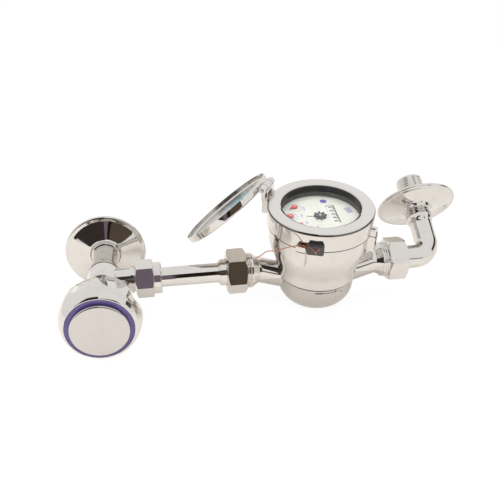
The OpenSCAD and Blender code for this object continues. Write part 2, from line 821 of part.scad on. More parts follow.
module idler_gear(n) {
    odd = n % 2;
    color("ivory") in_meter() arbor(idler_at[n], wheel_i_teeth, 4 - 2 * odd,
        seated(pointer_at[n], idler_at[n], pinion_teeth, wheel_i_teeth), 5 - 2 * odd, idle_top);
}

module pointer(n) {
    color("tomato") in_meter() translate([pointer_at[n][0], pointer_at[n][1], hand_z]) difference() {
        union() {
            cylinder(r = hand_hub_r, h = hand_t);
            rotate([0, 0, hand_turns[n]]) linear_extrude(hand_t)
                polygon([[0, -hand_root], [hand_len, -hand_tip], [hand_len, hand_tip], [0, hand_root]]);
        }
        translate([0, 0, -over]) cylinder(r = arbor_r + fit / 5, h = hand_t + 2 * over);
    }
}

module dial_plate() {
    slot_w = 2 * sqrt(wheel_r * wheel_r - pow(wheel_r - dial_t, 2)) + 1;
    color("white") in_meter() difference() {
        disc(dial_r, dial_z, dial_z + dial_t);
        pivot_holes(dial_z - over, dial_t + 2 * over, 0, arbor_r + pivot, spindle_fine_r + pivot);
        translate([counter_x - slot_w / 2, counter_y - counter_half - 0.2, dial_z - over])
            cube([slot_w, 2 * counter_half + 0.4, dial_t + 2 * over]);
    }
}

module counter_shaft() {
    color("silver") in_meter() counter_axis()
        cylinder(r = shaft_r, h = 2 * counter_half + 2 * cheek_t + 0.4, center = true);
}

module number_wheel(n) {
    at = -counter_half + (n + 0.5) * wheel_pitch;
    color("ghostwhite") in_meter() counter_axis() translate([0, 0, -at - wheel_w / 2])
        disc(wheel_r, 0, wheel_w, shaft_r + running);
}

module window_glass() {
    color("lightcyan", 0.35) in_meter() disc(glass_r, cup_top, cup_top + glass_t);
}

module window_gasket() {
    from = cup_top + glass_t;
    color("black") in_meter() {
        disc(glass_r, from, from + gasket_h, window_r - gasket_lip);
        disc(window_r - fit, from, ring_top - 1, window_r - gasket_lip);
    }
}

module bezel_ring() {
    edge = 1.8;
    color("gainsboro") in_meter() difference() {
        union() {
            rotate_extrude() polygon(concat(
                [[bezel_bore_r, seam_z], [ring_r - 0.4, seam_z], [ring_r, seam_z + 0.4]],
                arc(ring_r - edge, ring_top - edge, edge, 0, 90, 6),
                [[window_r + 1, ring_top], [window_r, ring_top - 0.7]],
                [[window_r, lip_z], [bezel_bore_r, lip_z]]));
            seal_ears(seam_z + ear_gap, seam_z + ear_top, ring_r - 1.5, ear_r);
            at_azimuth(hinge_azimuth) hinge_bracket();
        }
        at_azimuth(hinge_azimuth) hinge_axis()
            cylinder(r = hinge_pin_r + 0.02, h = 4 * hinge_half, center = true);
    }
}

module hinge_axis() {
    translate([hinge_r, 0, hinge_z]) rotate([-90, 0, 0]) children();
}

// Plate on the bezel's side, split at the top into two lugs round the hinge pin
module hinge_bracket() {
    lug_w = hinge_half - knuckle_half - lug_gap;
    translate([ring_r - 1.5, -hinge_half, bracket_z])
        cube([hinge_r - ring_r + 1.5, 2 * hinge_half, ring_top - 2 - bracket_z]);
    for (s = [-1, 1])
        translate([0, s * (hinge_half - lug_w / 2), 0]) {
            translate([bracket_r, -lug_w / 2, ring_top - 3])
                cube([hinge_r - bracket_r + 0.6, lug_w, hinge_z - ring_top + 3]);
            hinge_axis() cylinder(r = knuckle_r, h = lug_w, center = true);
        }
}

// Lid as it lies closed on the bezel ring
module closed_lid() {
    foot = ring_top + lid_gap;
    top = foot + lid_h;
    edge = 1.4;
    difference() {
        union() {
            rotate_extrude() polygon(concat(
                [[0, top - lid_wall], [lid_r - lid_wall - 1, top - lid_wall]],
                [[lid_r - lid_wall, top - lid_wall - 1], [lid_r - lid_wall, foot], [lid_r, foot]],
                arc(lid_r - edge, top - edge, edge, 0, 90, 5),
                [[0, top]]));
            at_azimuth(hinge_azimuth) {
                translate([lid_r - 3, -knuckle_half, top - 2.6])
                    cube([hinge_r - lid_r + 3, 2 * knuckle_half, 2.6]);
                hinge_axis() cylinder(r = knuckle_r, h = 2 * knuckle_half, center = true);
            }
        }
        at_azimuth(hinge_azimuth) hinge_axis()
            cylinder(r = hinge_pin_r + running, h = 3 * knuckle_half, center = true);
    }
}

module lid() {
    color("silver") in_meter() at_azimuth(hinge_azimuth)
        translate([hinge_r, 0, hinge_z]) rotate([0, lid_open, 0]) translate([-hinge_r, 0, -hinge_z])
            at_azimuth(-hinge_azimuth) closed_lid();
}

module hinge_pin() {
    color("gray") in_meter() at_azimuth(hinge_azimuth)
        hinge_axis() cylinder(r = hinge_pin_r, h = 2 * hinge_half + 0.8, center = true);
}

// Tube of eight sides swept along a route
module swept(route, r) {
    sides = 8;
    last = len(route) - 1;
    function along(i) = let (d = route[min(i + 1, last)] - route[max(i - 1, 0)]) d / norm(d);
    function side(t) = let (s = cross(t, [0, 0, 1])) s / norm(s);
    rings = [for (i = [0:last]) let (t = along(i), u = side(t), v = cross(u, t))
        for (k = [0:sides - 1]) route[i] + r * (cos(k * 360 / sides) * u + sin(k * 360 / sides) * v)];
    walls = [for (i = [0:last - 1], k = [0:sides - 1]) let (n = (k + 1) % sides)
        [i * sides + k, i * sides + n, (i + 1) * sides + n, (i + 1) * sides + k]];
    ends = [[for (k = [sides - 1:-1:0]) k], [for (k = [0:sides - 1]) last * sides + k]];
    polyhedron(rings, concat(walls, ends));
}

module seal_wire() {
    color("peru") in_meter() swept(wire_route, wire_r);
}

module seal_block() {
    corner = 1.6;
    color("dimgray") in_meter() at_azimuth(seal_azimuth)
        translate([ring_r + fit + seal_t / 2, 0, seam_z + seal_h / 2]) rotate([90, 0, 90])
        linear_extrude(seal_t, center = true) {
            square([seal_w, seal_h - 2 * corner], center = true);
            square([seal_w - 2 * corner, seal_h], center = true);
            for (x = [-1, 1], y = [-1, 1])
                translate([x * (seal_w / 2 - corner), y * (seal_h / 2 - corner)]) circle(r = corner);
        }
}

module outlet_gasket() {
    color("dimgray") along_pipe(meter_x) union_gasket(stub_bore_r);
}

module outlet_union_nut() {
    color("gainsboro") along_pipe(meter_x) rotate([0, 0, outlet_nut_turn]) union_nut(elbow_r);
}

// Elbow's centre line thickened to a radius: run along the pipe, bend, and leg towards the wall
module elbow_run(r, from, to) {
    translate([from, 0, 0]) rotate([0, 90, 0]) cylinder(r = r, h = leg_x - bend_r - from);
    translate([leg_x - bend_r, bend_r, 0]) rotate([0, 0, -90])
        rotate_extrude(angle = 90) translate([bend_r, 0]) circle(r = r);
    translate([leg_x, bend_r, 0]) rotate([-90, 0, 0]) cylinder(r = r, h = to - bend_r);
}

module outlet_elbow() {
    end = pipe_out + wall_thread_len;
    head_from = pipe_out - 19;
    head_r = elbow_r + 1.4;
    color("silver") in_outlet() difference() {
        union() {
            elbow_run(elbow_r, collar_x, pipe_out);
            translate([collar_x, 0, 0]) rotate([0, 90, 0]) cylinder(r = collar_r, h = collar_t);
            translate([leg_x, 0, 0]) rotate([-90, 0, 0]) rotate_extrude() polygon(concat(
                [[0, head_from - 2], [elbow_r, head_from - 2]],
                bezier([elbow_r, head_from - 2], [elbow_r, head_from],
                    [head_r, head_from], [head_r, head_from + 3], 6),
                [[head_r, head_from + 3], [head_r, head_from + 6]],
                bezier([head_r, head_from + 6], [head_r, head_from + 8], [neck_r, head_from + 8],
                    [neck_r, head_from + 9], 5),
                [[neck_r, head_from + 9], [neck_r, pipe_out - relief], [wall_thread_r, pipe_out]],
                [[wall_thread_r, end], [0, end]]));
        }
        elbow_run(elbow_r - elbow_wall, collar_x - over, end + over);
    }
}

module outlet_rosette() {
    color("silver") in_outlet() translate([leg_x, pipe_out, 0]) rotate([90, 0, 0]) rosette(neck_r + fit);
}

inlet_rosette();
valve_body();
valve_bonnet();
valve_spindle();
valve_disc();
valve_washer();
knob();
knob_ring();
knob_cap();
knob_screw();
compression_nut();
compression_ring();
inlet_tube();
inlet_gasket();
inlet_union_nut();
inlet_strainer();
meter_body();
impeller_pin();
impeller();
impeller_magnet();
pressure_plate();
clamp_ring();
register_cup();
base_plate();
centre_arbor();
follower_magnet();
star_wheel();
gear_a();
gear_b();
pointer_gear(0);  // pointer_gear_1
idler_gear(0);  // idler_gear_1
pointer_gear(1);  // pointer_gear_2
idler_gear(1);  // idler_gear_2
pointer_gear(2);  // pointer_gear_3
idler_gear(2);  // idler_gear_3
pointer_gear(3);  // pointer_gear_4
pointer(0);  // pointer_1
pointer(1);  // pointer_2
pointer(2);  // pointer_3
pointer(3);  // pointer_4
dial_plate();
counter_shaft();
number_wheel(0);  // number_wheel_1
number_wheel(1);  // number_wheel_2
number_wheel(2);  // number_wheel_3
number_wheel(3);  // number_wheel_4
number_wheel(4);  // number_wheel_5
window_glass();
window_gasket();
bezel_ring();
lid();
hinge_pin();
seal_wire();
seal_block();
outlet_gasket();
outlet_union_nut();
outlet_elbow();
outlet_rosette();
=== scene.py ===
"""Looks of a wall-mounted water meter set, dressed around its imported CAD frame."""
import logging
import math
from dataclasses import dataclass
from enum import Enum
from typing import Callable, Sequence

import bmesh
import bpy
from mathutils import Matrix, Vector


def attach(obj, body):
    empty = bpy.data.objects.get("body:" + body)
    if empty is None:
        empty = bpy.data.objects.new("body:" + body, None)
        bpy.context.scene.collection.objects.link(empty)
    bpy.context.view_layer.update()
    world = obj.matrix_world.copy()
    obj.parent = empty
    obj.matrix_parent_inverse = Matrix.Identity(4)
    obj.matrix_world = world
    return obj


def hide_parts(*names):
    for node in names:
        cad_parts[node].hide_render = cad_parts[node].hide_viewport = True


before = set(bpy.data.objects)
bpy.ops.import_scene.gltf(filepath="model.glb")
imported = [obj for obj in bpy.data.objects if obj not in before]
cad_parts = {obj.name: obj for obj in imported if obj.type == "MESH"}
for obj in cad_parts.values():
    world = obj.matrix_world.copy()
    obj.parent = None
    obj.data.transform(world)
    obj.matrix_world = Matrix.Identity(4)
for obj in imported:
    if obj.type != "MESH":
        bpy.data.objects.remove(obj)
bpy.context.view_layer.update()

LOG = logging.getLogger("water_meter")
MM = 0.001
Point = tuple[float, float, float]
Colour = tuple[float, float, float]

# Places of the sub-assemblies in the row frame, in metres and degrees
METER_TILT = 6.4
OUTLET_TURN = 33.6
PIPE = Matrix.Translation((0.162, -0.048, 0.0))
METER = PIPE @ Matrix.Rotation(math.radians(METER_TILT), 4, "X")
OUTLET = PIPE @ Matrix.Rotation(math.radians(OUTLET_TURN), 4, "X")
LEG = Vector((0.0925, 0.048, 0.0))
METER_AXIS = METER.to_3x3() @ Vector((0.0, 0.0, 1.0))

# Thickness of printing ink, in millimetres
INK = 0.02
TYPE_HALF = 0.012


class Body(Enum):
    """CAD bodies that carry the added pieces."""

    VALVE = "valve"
    METER = "meter"
    OUTLET = "outlet"


class Bench:
    """Adds and joins nodes in one shader node tree."""

    def __init__(self, tree: bpy.types.NodeTree) -> None:
        """Keeps the tree that the nodes go into."""
        self.tree = tree

    def add(self, kind: str, **settings: object) -> bpy.types.Node:
        """Adds a node.

        Args:
            kind: Node type name.
            settings: Attributes of the node, or values of its input sockets by name.

        Returns:
            The new node.
        """
        node = self.tree.nodes.new(kind)
        for key, value in settings.items():
            if hasattr(node, key):
                setattr(node, key, value)
            else:
                node.inputs[key.replace("_", " ")].default_value = value
        return node

    def join(self, source: bpy.types.NodeSocket, target: bpy.types.NodeSocket) -> None:
        """Links an output socket to an input socket."""
        self.tree.links.new(source, target)

    def math(self, operation: str, first: object, second: object = 0.0) -> bpy.types.NodeSocket:
        """Adds a Math node.

        Args:
            operation: Operation of the node.
            first: Socket or number for the first input.
            second: Socket or number for the second input.

        Returns:
            The node's output socket.
        """
        node = self.add("ShaderNodeMath", operation=operation)
        for place, value in enumerate((first, second)):
            if isinstance(value, bpy.types.NodeSocket):
                self.join(value, node.inputs[place])
            else:
                node.inputs[place].default_value = value
        return node.outputs[0]

    def vector(self, operation: str, first: bpy.types.NodeSocket,
               second: Sequence[float] | None = None) -> bpy.types.Node:
        """Adds a Vector Math node.

        Args:
            operation: Operation of the node.
            first: Socket for the first input.
            second: Value of the second input, where the operation has one.

        Returns:
            The new node.
        """
        node = self.add("ShaderNodeVectorMath", operation=operation)
        self.join(first, node.inputs[0])
        if second is not None:
            node.inputs[1].default_value = second
        return node


def new_group(name: str, inputs: Sequence[tuple[str, float]], outputs: Sequence[str]
              ) -> tuple[bpy.types.NodeTree, Bench, bpy.types.Node, bpy.types.Node]:
    """Makes an empty shader node group.

    Args:
        name: Name of the group.
        inputs: Name and default of each number input.
        outputs: Names of the number outputs.

    Returns:
        The group, its bench, its input node and its output node.
    """
    group = bpy.data.node_groups.new(name, "ShaderNodeTree")
    for label, default in inputs:
        socket = group.interface.new_socket(label, in_out="INPUT", socket_type="NodeSocketFloat")
        socket.default_value = default
    for label in outputs:
        group.interface.new_socket(label, in_out="OUTPUT", socket_type="NodeSocketFloat")
    bench = Bench(group)
    return group, bench, bench.add("NodeGroupInput"), bench.add("NodeGroupOutput")


def film_group() -> bpy.types.NodeTree:
    """Plated metal: slow waves in the surface, handling smudges and hairline marks.

    Returns:
        A group with the outputs Shade, Rough and Height.
    """
    group, bench, given, out = new_group(
        "plated_film",
        (("Wave Scale", 55.0), ("Smudge", 0.03), ("Rough", 0.04), ("Hairline", 0.02)),
        ("Shade", "Rough", "Height"),
    )
    place = bench.add("ShaderNodeTexCoord")
    wave = bench.add("ShaderNodeTexNoise", Detail=1.0)
    bench.join(place.outputs["Object"], wave.inputs["Vector"])
    bench.join(given.outputs["Wave Scale"], wave.inputs["Scale"])
    smudge = bench.add("ShaderNodeTexNoise", Scale=120.0, Detail=5.0, Roughness=0.65)
    bench.join(place.outputs["Object"], smudge.inputs["Vector"])
    patch = bench.add("ShaderNodeMapRange", From_Min=0.48, From_Max=0.72)
    bench.join(smudge.outputs["Fac"], patch.inputs["Value"])
    hair_stretch = (160.0, 1900.0, 1900.0)
    hair_turn = (0.2, 0.4, 0.9)
    lines = bench.add("ShaderNodeMapping", vector_type="POINT", Scale=hair_stretch, Rotation=hair_turn)
    bench.join(place.outputs["Object"], lines.inputs["Vector"])
    hair = bench.add("ShaderNodeTexNoise", Scale=1.0, Detail=2.0)
    bench.join(lines.outputs["Vector"], hair.inputs["Vector"])
    fine = bench.add("ShaderNodeMapRange", From_Min=0.62, From_Max=0.74)
    bench.join(hair.outputs["Fac"], fine.inputs["Value"])
    dull = bench.math("MULTIPLY", patch.outputs["Result"], given.outputs["Smudge"])
    scratch = bench.math("MULTIPLY", fine.outputs["Result"], given.outputs["Hairline"])
    rough = bench.math("ADD", bench.math("ADD", dull, scratch), given.outputs["Rough"])
    bench.join(rough, out.inputs["Rough"])
    bench.join(patch.outputs["Result"], out.inputs["Shade"])
    bench.join(bench.math("SUBTRACT", wave.outputs["Fac"], scratch), out.inputs["Height"])
    return group


def grain_group() -> bpy.types.NodeTree:
    """Moulded or cast surface: mottled shade, uneven gloss and a fine pitted skin.

    Returns:
        A group with the outputs Shade, Rough and Height.
    """
    group, bench, given, out = new_group(
        "moulded_grain",
        (("Scale", 900.0), ("Rough", 0.4), ("Spread", 0.12)),
        ("Shade", "Rough", "Height"),
    )
    place = bench.add("ShaderNodeTexCoord")
    pits = bench.add("ShaderNodeTexNoise", Detail=3.0)
    bench.join(place.outputs["Object"], pits.inputs["Vector"])
    bench.join(given.outputs["Scale"], pits.inputs["Scale"])
    slow = bench.add("ShaderNodeTexNoise", Scale=140.0, Detail=4.0)
    bench.join(place.outputs["Object"], slow.inputs["Vector"])
    about_middle = bench.math("SUBTRACT", slow.outputs["Fac"], 0.5)
    drift = bench.math("MULTIPLY", about_middle, given.outputs["Spread"])
    bench.join(slow.outputs["Fac"], out.inputs["Shade"])
    bench.join(bench.math("ADD", given.outputs["Rough"], drift), out.inputs["Rough"])
    bench.join(pits.outputs["Fac"], out.inputs["Height"])
    return group


def turned_group() -> bpy.types.NodeTree:
    """Turned or drawn metal: fine tool lines across one direction with darker tarnish between.

    Returns:
        A group with the outputs Shade, Rough and Height.
    """
    group, bench, given, out = new_group(
        "turned_lines",
        (("Lines", 2600.0), ("Rough", 0.25), ("Spread", 0.15)),
        ("Shade", "Rough", "Height"),
    )
    place = bench.add("ShaderNodeTexCoord")
    squeeze = bench.add("ShaderNodeMapping", Scale=(0.04, 1.0, 0.04))
    bench.join(place.outputs["Object"], squeeze.inputs["Vector"])
    lines = bench.add("ShaderNodeTexNoise", Detail=2.0)
    bench.join(squeeze.outputs["Vector"], lines.inputs["Vector"])
    bench.join(given.outputs["Lines"], lines.inputs["Scale"])
    stain = bench.add("ShaderNodeTexNoise", Scale=170.0, Detail=5.0)
    bench.join(place.outputs["Object"], stain.inputs["Vector"])
    drift = bench.math("MULTIPLY", stain.outputs["Fac"], given.outputs["Spread"])
    bench.join(stain.outputs["Fac"], out.inputs["Shade"])
    bench.join(bench.math("ADD", given.outputs["Rough"], drift), out.inputs["Rough"])
    bench.join(lines.outputs["Fac"], out.inputs["Height"])
    return group


class Effects:
    """Builds each shared shader group once."""

    def __init__(self) -> None:
        """Builds the groups."""
        self.film = film_group()
        self.grain = grain_group()
        self.turned = turned_group()


class Surface:
    """One material in the making: its bench, its Principled shader and one effect group."""

    def __init__(self, name: str, effect: bpy.types.NodeTree, values: dict[str, float]) -> None:
        """Starts a material.

        Args:
            name: Name of the material.
            effect: Shared shader group that it uses.
            values: Values of the group's inputs.
        """
        self.material = bpy.data.materials.new(name)
        self.material.use_nodes = True
        self.bench = Bench(self.material.node_tree)
        self.shader = self.material.node_tree.nodes["Principled BSDF"]
        self.effect = self.bench.add("ShaderNodeGroup")
        self.effect.node_tree = effect
        for label, value in values.items():
            self.effect.inputs[label].default_value = value

    def tint(self, clean: Colour, worn: Colour) -> bpy.types.NodeSocket:
        """Feeds the base colour with a mix of two colours by the effect's shade.

        Args:
            clean: Colour where the shade is 0.
            worn: Colour where the shade is 1.

        Returns:
            The colour socket of the mix.
        """
        mix = self.bench.add("ShaderNodeMix", data_type="RGBA")
        mix.inputs["A"].default_value = (*clean, 1.0)
        mix.inputs["B"].default_value = (*worn, 1.0)
        self.bench.join(self.effect.outputs["Shade"], mix.inputs["Factor"])
        self.bench.join(mix.outputs["Result"], self.shader.inputs["Base Color"])
        return mix.outputs["Result"]

    def blend(self, share: bpy.types.NodeSocket, plain: bpy.types.NodeSocket,
              other: Colour) -> bpy.types.NodeSocket:
        """Feeds the base colour with a second colour laid over the first.

        Args:
            share: How much of the second colour shows.
            plain: First colour.
            other: Second colour.

        Returns:
            The colour socket of the mix.
        """
        mix = self.bench.add("ShaderNodeMix", data_type="RGBA")
        self.bench.join(share, mix.inputs["Factor"])
        self.bench.join(plain, mix.inputs["A"])
        mix.inputs["B"].default_value = (*other, 1.0)
        self.bench.join(mix.outputs["Result"], self.shader.inputs["Base Color"])
        return mix.outputs["Result"]

    def relief(self, depth: float, base: bpy.types.NodeSocket | None = None) -> None:
        """Feeds the normal with the effect's height.

        Args:
            depth: Depth of the relief in metres.
            base: Normal that the relief is laid on, if not the face's own.
        """
        bump = self.bench.add("ShaderNodeBump", Strength=1.0, Distance=depth)
        self.bench.join(self.effect.outputs["Height"], bump.inputs["Height"])
        if base is not None:
            self.bench.join(base, bump.inputs["Normal"])
        self.bench.join(bump.outputs["Normal"], self.shader.inputs["Normal"])

    def gloss(self) -> None:
        """Feeds the roughness with the effect's roughness."""
        self.bench.join(self.effect.outputs["Rough"], self.shader.inputs["Roughness"])


@dataclass(frozen=True)
class Plating:
    """Chrome plate on polished brass."""

    name: str
    colour: Colour = (0.685, 0.66, 0.63)
    dull: Colour = (0.64, 0.61, 0.575)
    rough: float = 0.045
    smudge: float = 0.03
    wave_scale: float = 55.0
    wave_depth: float = 1.2e-5
    satin_normal: Point | None = None
    satin_rough: float = 0.2
    satin_edge: tuple[float, float] = (0.9, 0.97)
    satin_colour: Colour = (0.60, 0.575, 0.545)
    # Painted shade: a dark line round the meter's axis, where shade falls in a corner
    line_z: float | None = None
    line_span: tuple[float, float] = (0.0, 30.6)
    line_half: tuple[float, float] = (0.4, 0.9)
    line_share: float = 0.88
    painted_shade_colour: Colour = (0.05, 0.042, 0.036)
    # Painted shade: a darker colour for the faces below the line, where the chrome mirrors shade
    painted_shade_below: Colour | None = None
    dish_slope: float = 0.0
    dish_r: float = 28.1
    dish_at: Point = (0.0, 0.0, 0.0)
    dish_turn: float = 0.0

    def material(self, effects: Effects) -> bpy.types.Material:
        """Builds the material.

        Args:
            effects: Shared shader groups.

        Returns:
            The material.
        """
        values = {"Wave Scale": self.wave_scale, "Smudge": self.smudge, "Rough": self.rough}
        surface = Surface(self.name, effects.film, values)
        plain = surface.tint(self.colour, self.dull)
        surface.shader.inputs["Metallic"].default_value = 1.0
        surface.relief(self.wave_depth, self._dish(surface) if self.dish_slope else None)
        if self.satin_normal is None:
            surface.gloss()
        else:
            plain = self._satin_face(surface, plain)
        if self.line_z is not None:
            self._painted_shade_line(surface, plain)
        return surface.material

    def _dish(self, surface: Surface) -> bpy.types.NodeSocket:
        """Tilts the shading inside a rosette's rim, as on a deeper pressing.

        Args:
            surface: Material in the making.

        Returns:
            The tilted normal.
        """
        bench = surface.bench
        place = bench.add("ShaderNodeTexCoord")
        local = bench.add("ShaderNodeMapping", vector_type="TEXTURE", Location=self.dish_at,
                          Rotation=(math.radians(self.dish_turn), 0.0, 0.0))
        bench.join(place.outputs["Object"], local.inputs["Vector"])
        flat = bench.vector("MULTIPLY", local.outputs["Vector"], (1.0, 0.0, 1.0))
        reach = bench.vector("LENGTH", flat.outputs["Vector"])
        rim = self.dish_r * MM
        cone = bench.add("ShaderNodeMapRange", From_Max=rim, To_Min=self.dish_slope * rim, To_Max=0.0)
        bench.join(reach.outputs["Value"], cone.inputs["Value"])
        bump = bench.add("ShaderNodeBump", Strength=1.0, Distance=1.0)
        bench.join(cone.outputs["Result"], bump.inputs["Height"])
        return bump.outputs["Normal"]

    def _painted_shade_line(self, surface: Surface, plain: bpy.types.NodeSocket) -> None:
        """Paints a shade line round the meter's axis, where shade falls in a corner, and paints the faces
        below it in a darker shade colour where one is given.

        Args:
            surface: Material in the making.
            plain: Colour of the clean faces.
        """
        bench = surface.bench
        place = bench.add("ShaderNodeTexCoord")
        local = bench.vector("SUBTRACT", place.outputs["Object"], METER.translation)
        height = bench.vector("DOT_PRODUCT", local.outputs["Vector"], METER_AXIS)
        across = bench.vector("CROSS_PRODUCT", local.outputs["Vector"], METER_AXIS)
        reach = bench.vector("LENGTH", across.outputs["Vector"])
        off = bench.math("SUBTRACT", height.outputs["Value"], self.line_z * MM)
        # Painted shade: the faces below the line take the darker colour
        if self.painted_shade_below is not None:
            plain = surface.blend(bench.math("LESS_THAN", off, 0.0), plain, self.painted_shade_below)
        dark, clean = self.line_half
        band = bench.add("ShaderNodeMapRange", From_Min=dark * MM, From_Max=clean * MM,
                         To_Min=self.line_share, To_Max=0.0)
        bench.join(bench.math("ABSOLUTE", off), band.inputs["Value"])
        inside = bench.math("GREATER_THAN", reach.outputs["Value"], self.line_span[0] * MM)
        outside = bench.math("LESS_THAN", reach.outputs["Value"], self.line_span[1] * MM)
        here = bench.math("MULTIPLY", inside, outside)
        # Painted shade: the dark line is mixed into the colour
        painted_shade_mask = bench.math("MULTIPLY", band.outputs["Result"], here)
        surface.blend(painted_shade_mask, plain, self.painted_shade_colour)

    def _satin_face(self, surface: Surface, plain: bpy.types.NodeSocket) -> bpy.types.NodeSocket:
        """Makes the faces that look along satin_normal finely brushed and darker.

        Args:
            surface: Material in the making.
            plain: Colour of the polished faces.

        Returns:
            The colour of all faces.
        """
        bench = surface.bench
        place = bench.add("ShaderNodeTexCoord")
        facing = bench.vector("DOT_PRODUCT", place.outputs["Normal"], self.satin_normal)
        start, full = self.satin_edge
        face = bench.add("ShaderNodeMapRange", From_Min=start, From_Max=full)
        bench.join(facing.outputs["Value"], face.inputs["Value"])
        extra = bench.math("MULTIPLY", face.outputs["Result"], self.satin_rough)
        rough = bench.math("ADD", surface.effect.outputs["Rough"], extra)
        bench.join(rough, surface.shader.inputs["Roughness"])
        return surface.blend(face.outputs["Result"], plain, self.satin_colour)


@dataclass(frozen=True)
class TurnedMetal:
    """Bare turned or drawn metal."""

    name: str
    colour: Colour
    tarnish: Colour
    rough: float = 0.22
    spread: float = 0.14
    lines: float = 2600.0
    depth: float = 6e-6

    def material(self, effects: Effects) -> bpy.types.Material:
        """Builds the material.

        Args:
            effects: Shared shader groups.

        Returns:
            The material.
        """
        values = {"Lines": self.lines, "Rough": self.rough, "Spread": self.spread}
        surface = Surface(self.name, effects.turned, values)
        surface.tint(self.colour, self.tarnish)
        surface.shader.inputs["Metallic"].default_value = 1.0
        surface.gloss()
        surface.relief(self.depth)
        return surface.material


@dataclass(frozen=True)
class Moulding:
    """Moulded plastic, rubber, fibre, lead or printing ink."""

    name: str
    colour: Colour
    mottle: Colour
    rough: float = 0.42
    spread: float = 0.12
    scale: float = 900.0
    depth: float = 4e-6
    coat: float = 0.0
    metallic: float = 0.0

    def material(self, effects: Effects) -> bpy.types.Material:
        """Builds the material.

        Args:
            effects: Shared shader groups.

        Returns:
            The material.
        """
        values = {"Scale": self.scale, "Rough": self.rough, "Spread": self.spread}
        surface = Surface(self.name, effects.grain, values)
        surface.tint(self.colour, self.mottle)
        surface.gloss()
        surface.relief(self.depth)
        surface.shader.inputs["Metallic"].default_value = self.metallic
        surface.shader.inputs["Coat Weight"].default_value = self.coat
        return surface.material


@dataclass(frozen=True)
class ClearPane:
    """Clear window glass that lets daylight through to the dial."""

    name: str
    colour: Colour = (0.97, 0.985, 0.98)
    smudged: Colour = (0.95, 0.97, 0.965)
    smudge: float = 0.025
    wave_scale: float = 30.0
    ior: float = 1.3

    def material(self, effects: Effects) -> bpy.types.Material:
        """Builds the material.

        Args:
            effects: Shared shader groups.

        Returns:
            The material.
        """
        values = {"Rough": 0.0, "Smudge": self.smudge, "Wave Scale": self.wave_scale}
        surface = Surface(self.name, effects.film, values)
        surface.tint(self.colour, self.smudged)
        surface.gloss()
        surface.shader.inputs["Transmission Weight"].default_value = 1.0
        surface.shader.inputs["IOR"].default_value = self.ior
        bench = surface.bench
        path = bench.add("ShaderNodeLightPath")
        clear = bench.add("ShaderNodeBsdfTransparent")
        blend = bench.add("ShaderNodeMixShader")
        bench.join(path.outputs["Is Shadow Ray"], blend.inputs["Fac"])
        bench.join(surface.shader.outputs["BSDF"], blend.inputs[1])
        bench.join(clear.outputs["BSDF"], blend.inputs[2])
        out = surface.material.node_tree.nodes["Material Output"]
        bench.join(blend.outputs["Shader"], out.inputs["Surface"])
        return surface.material


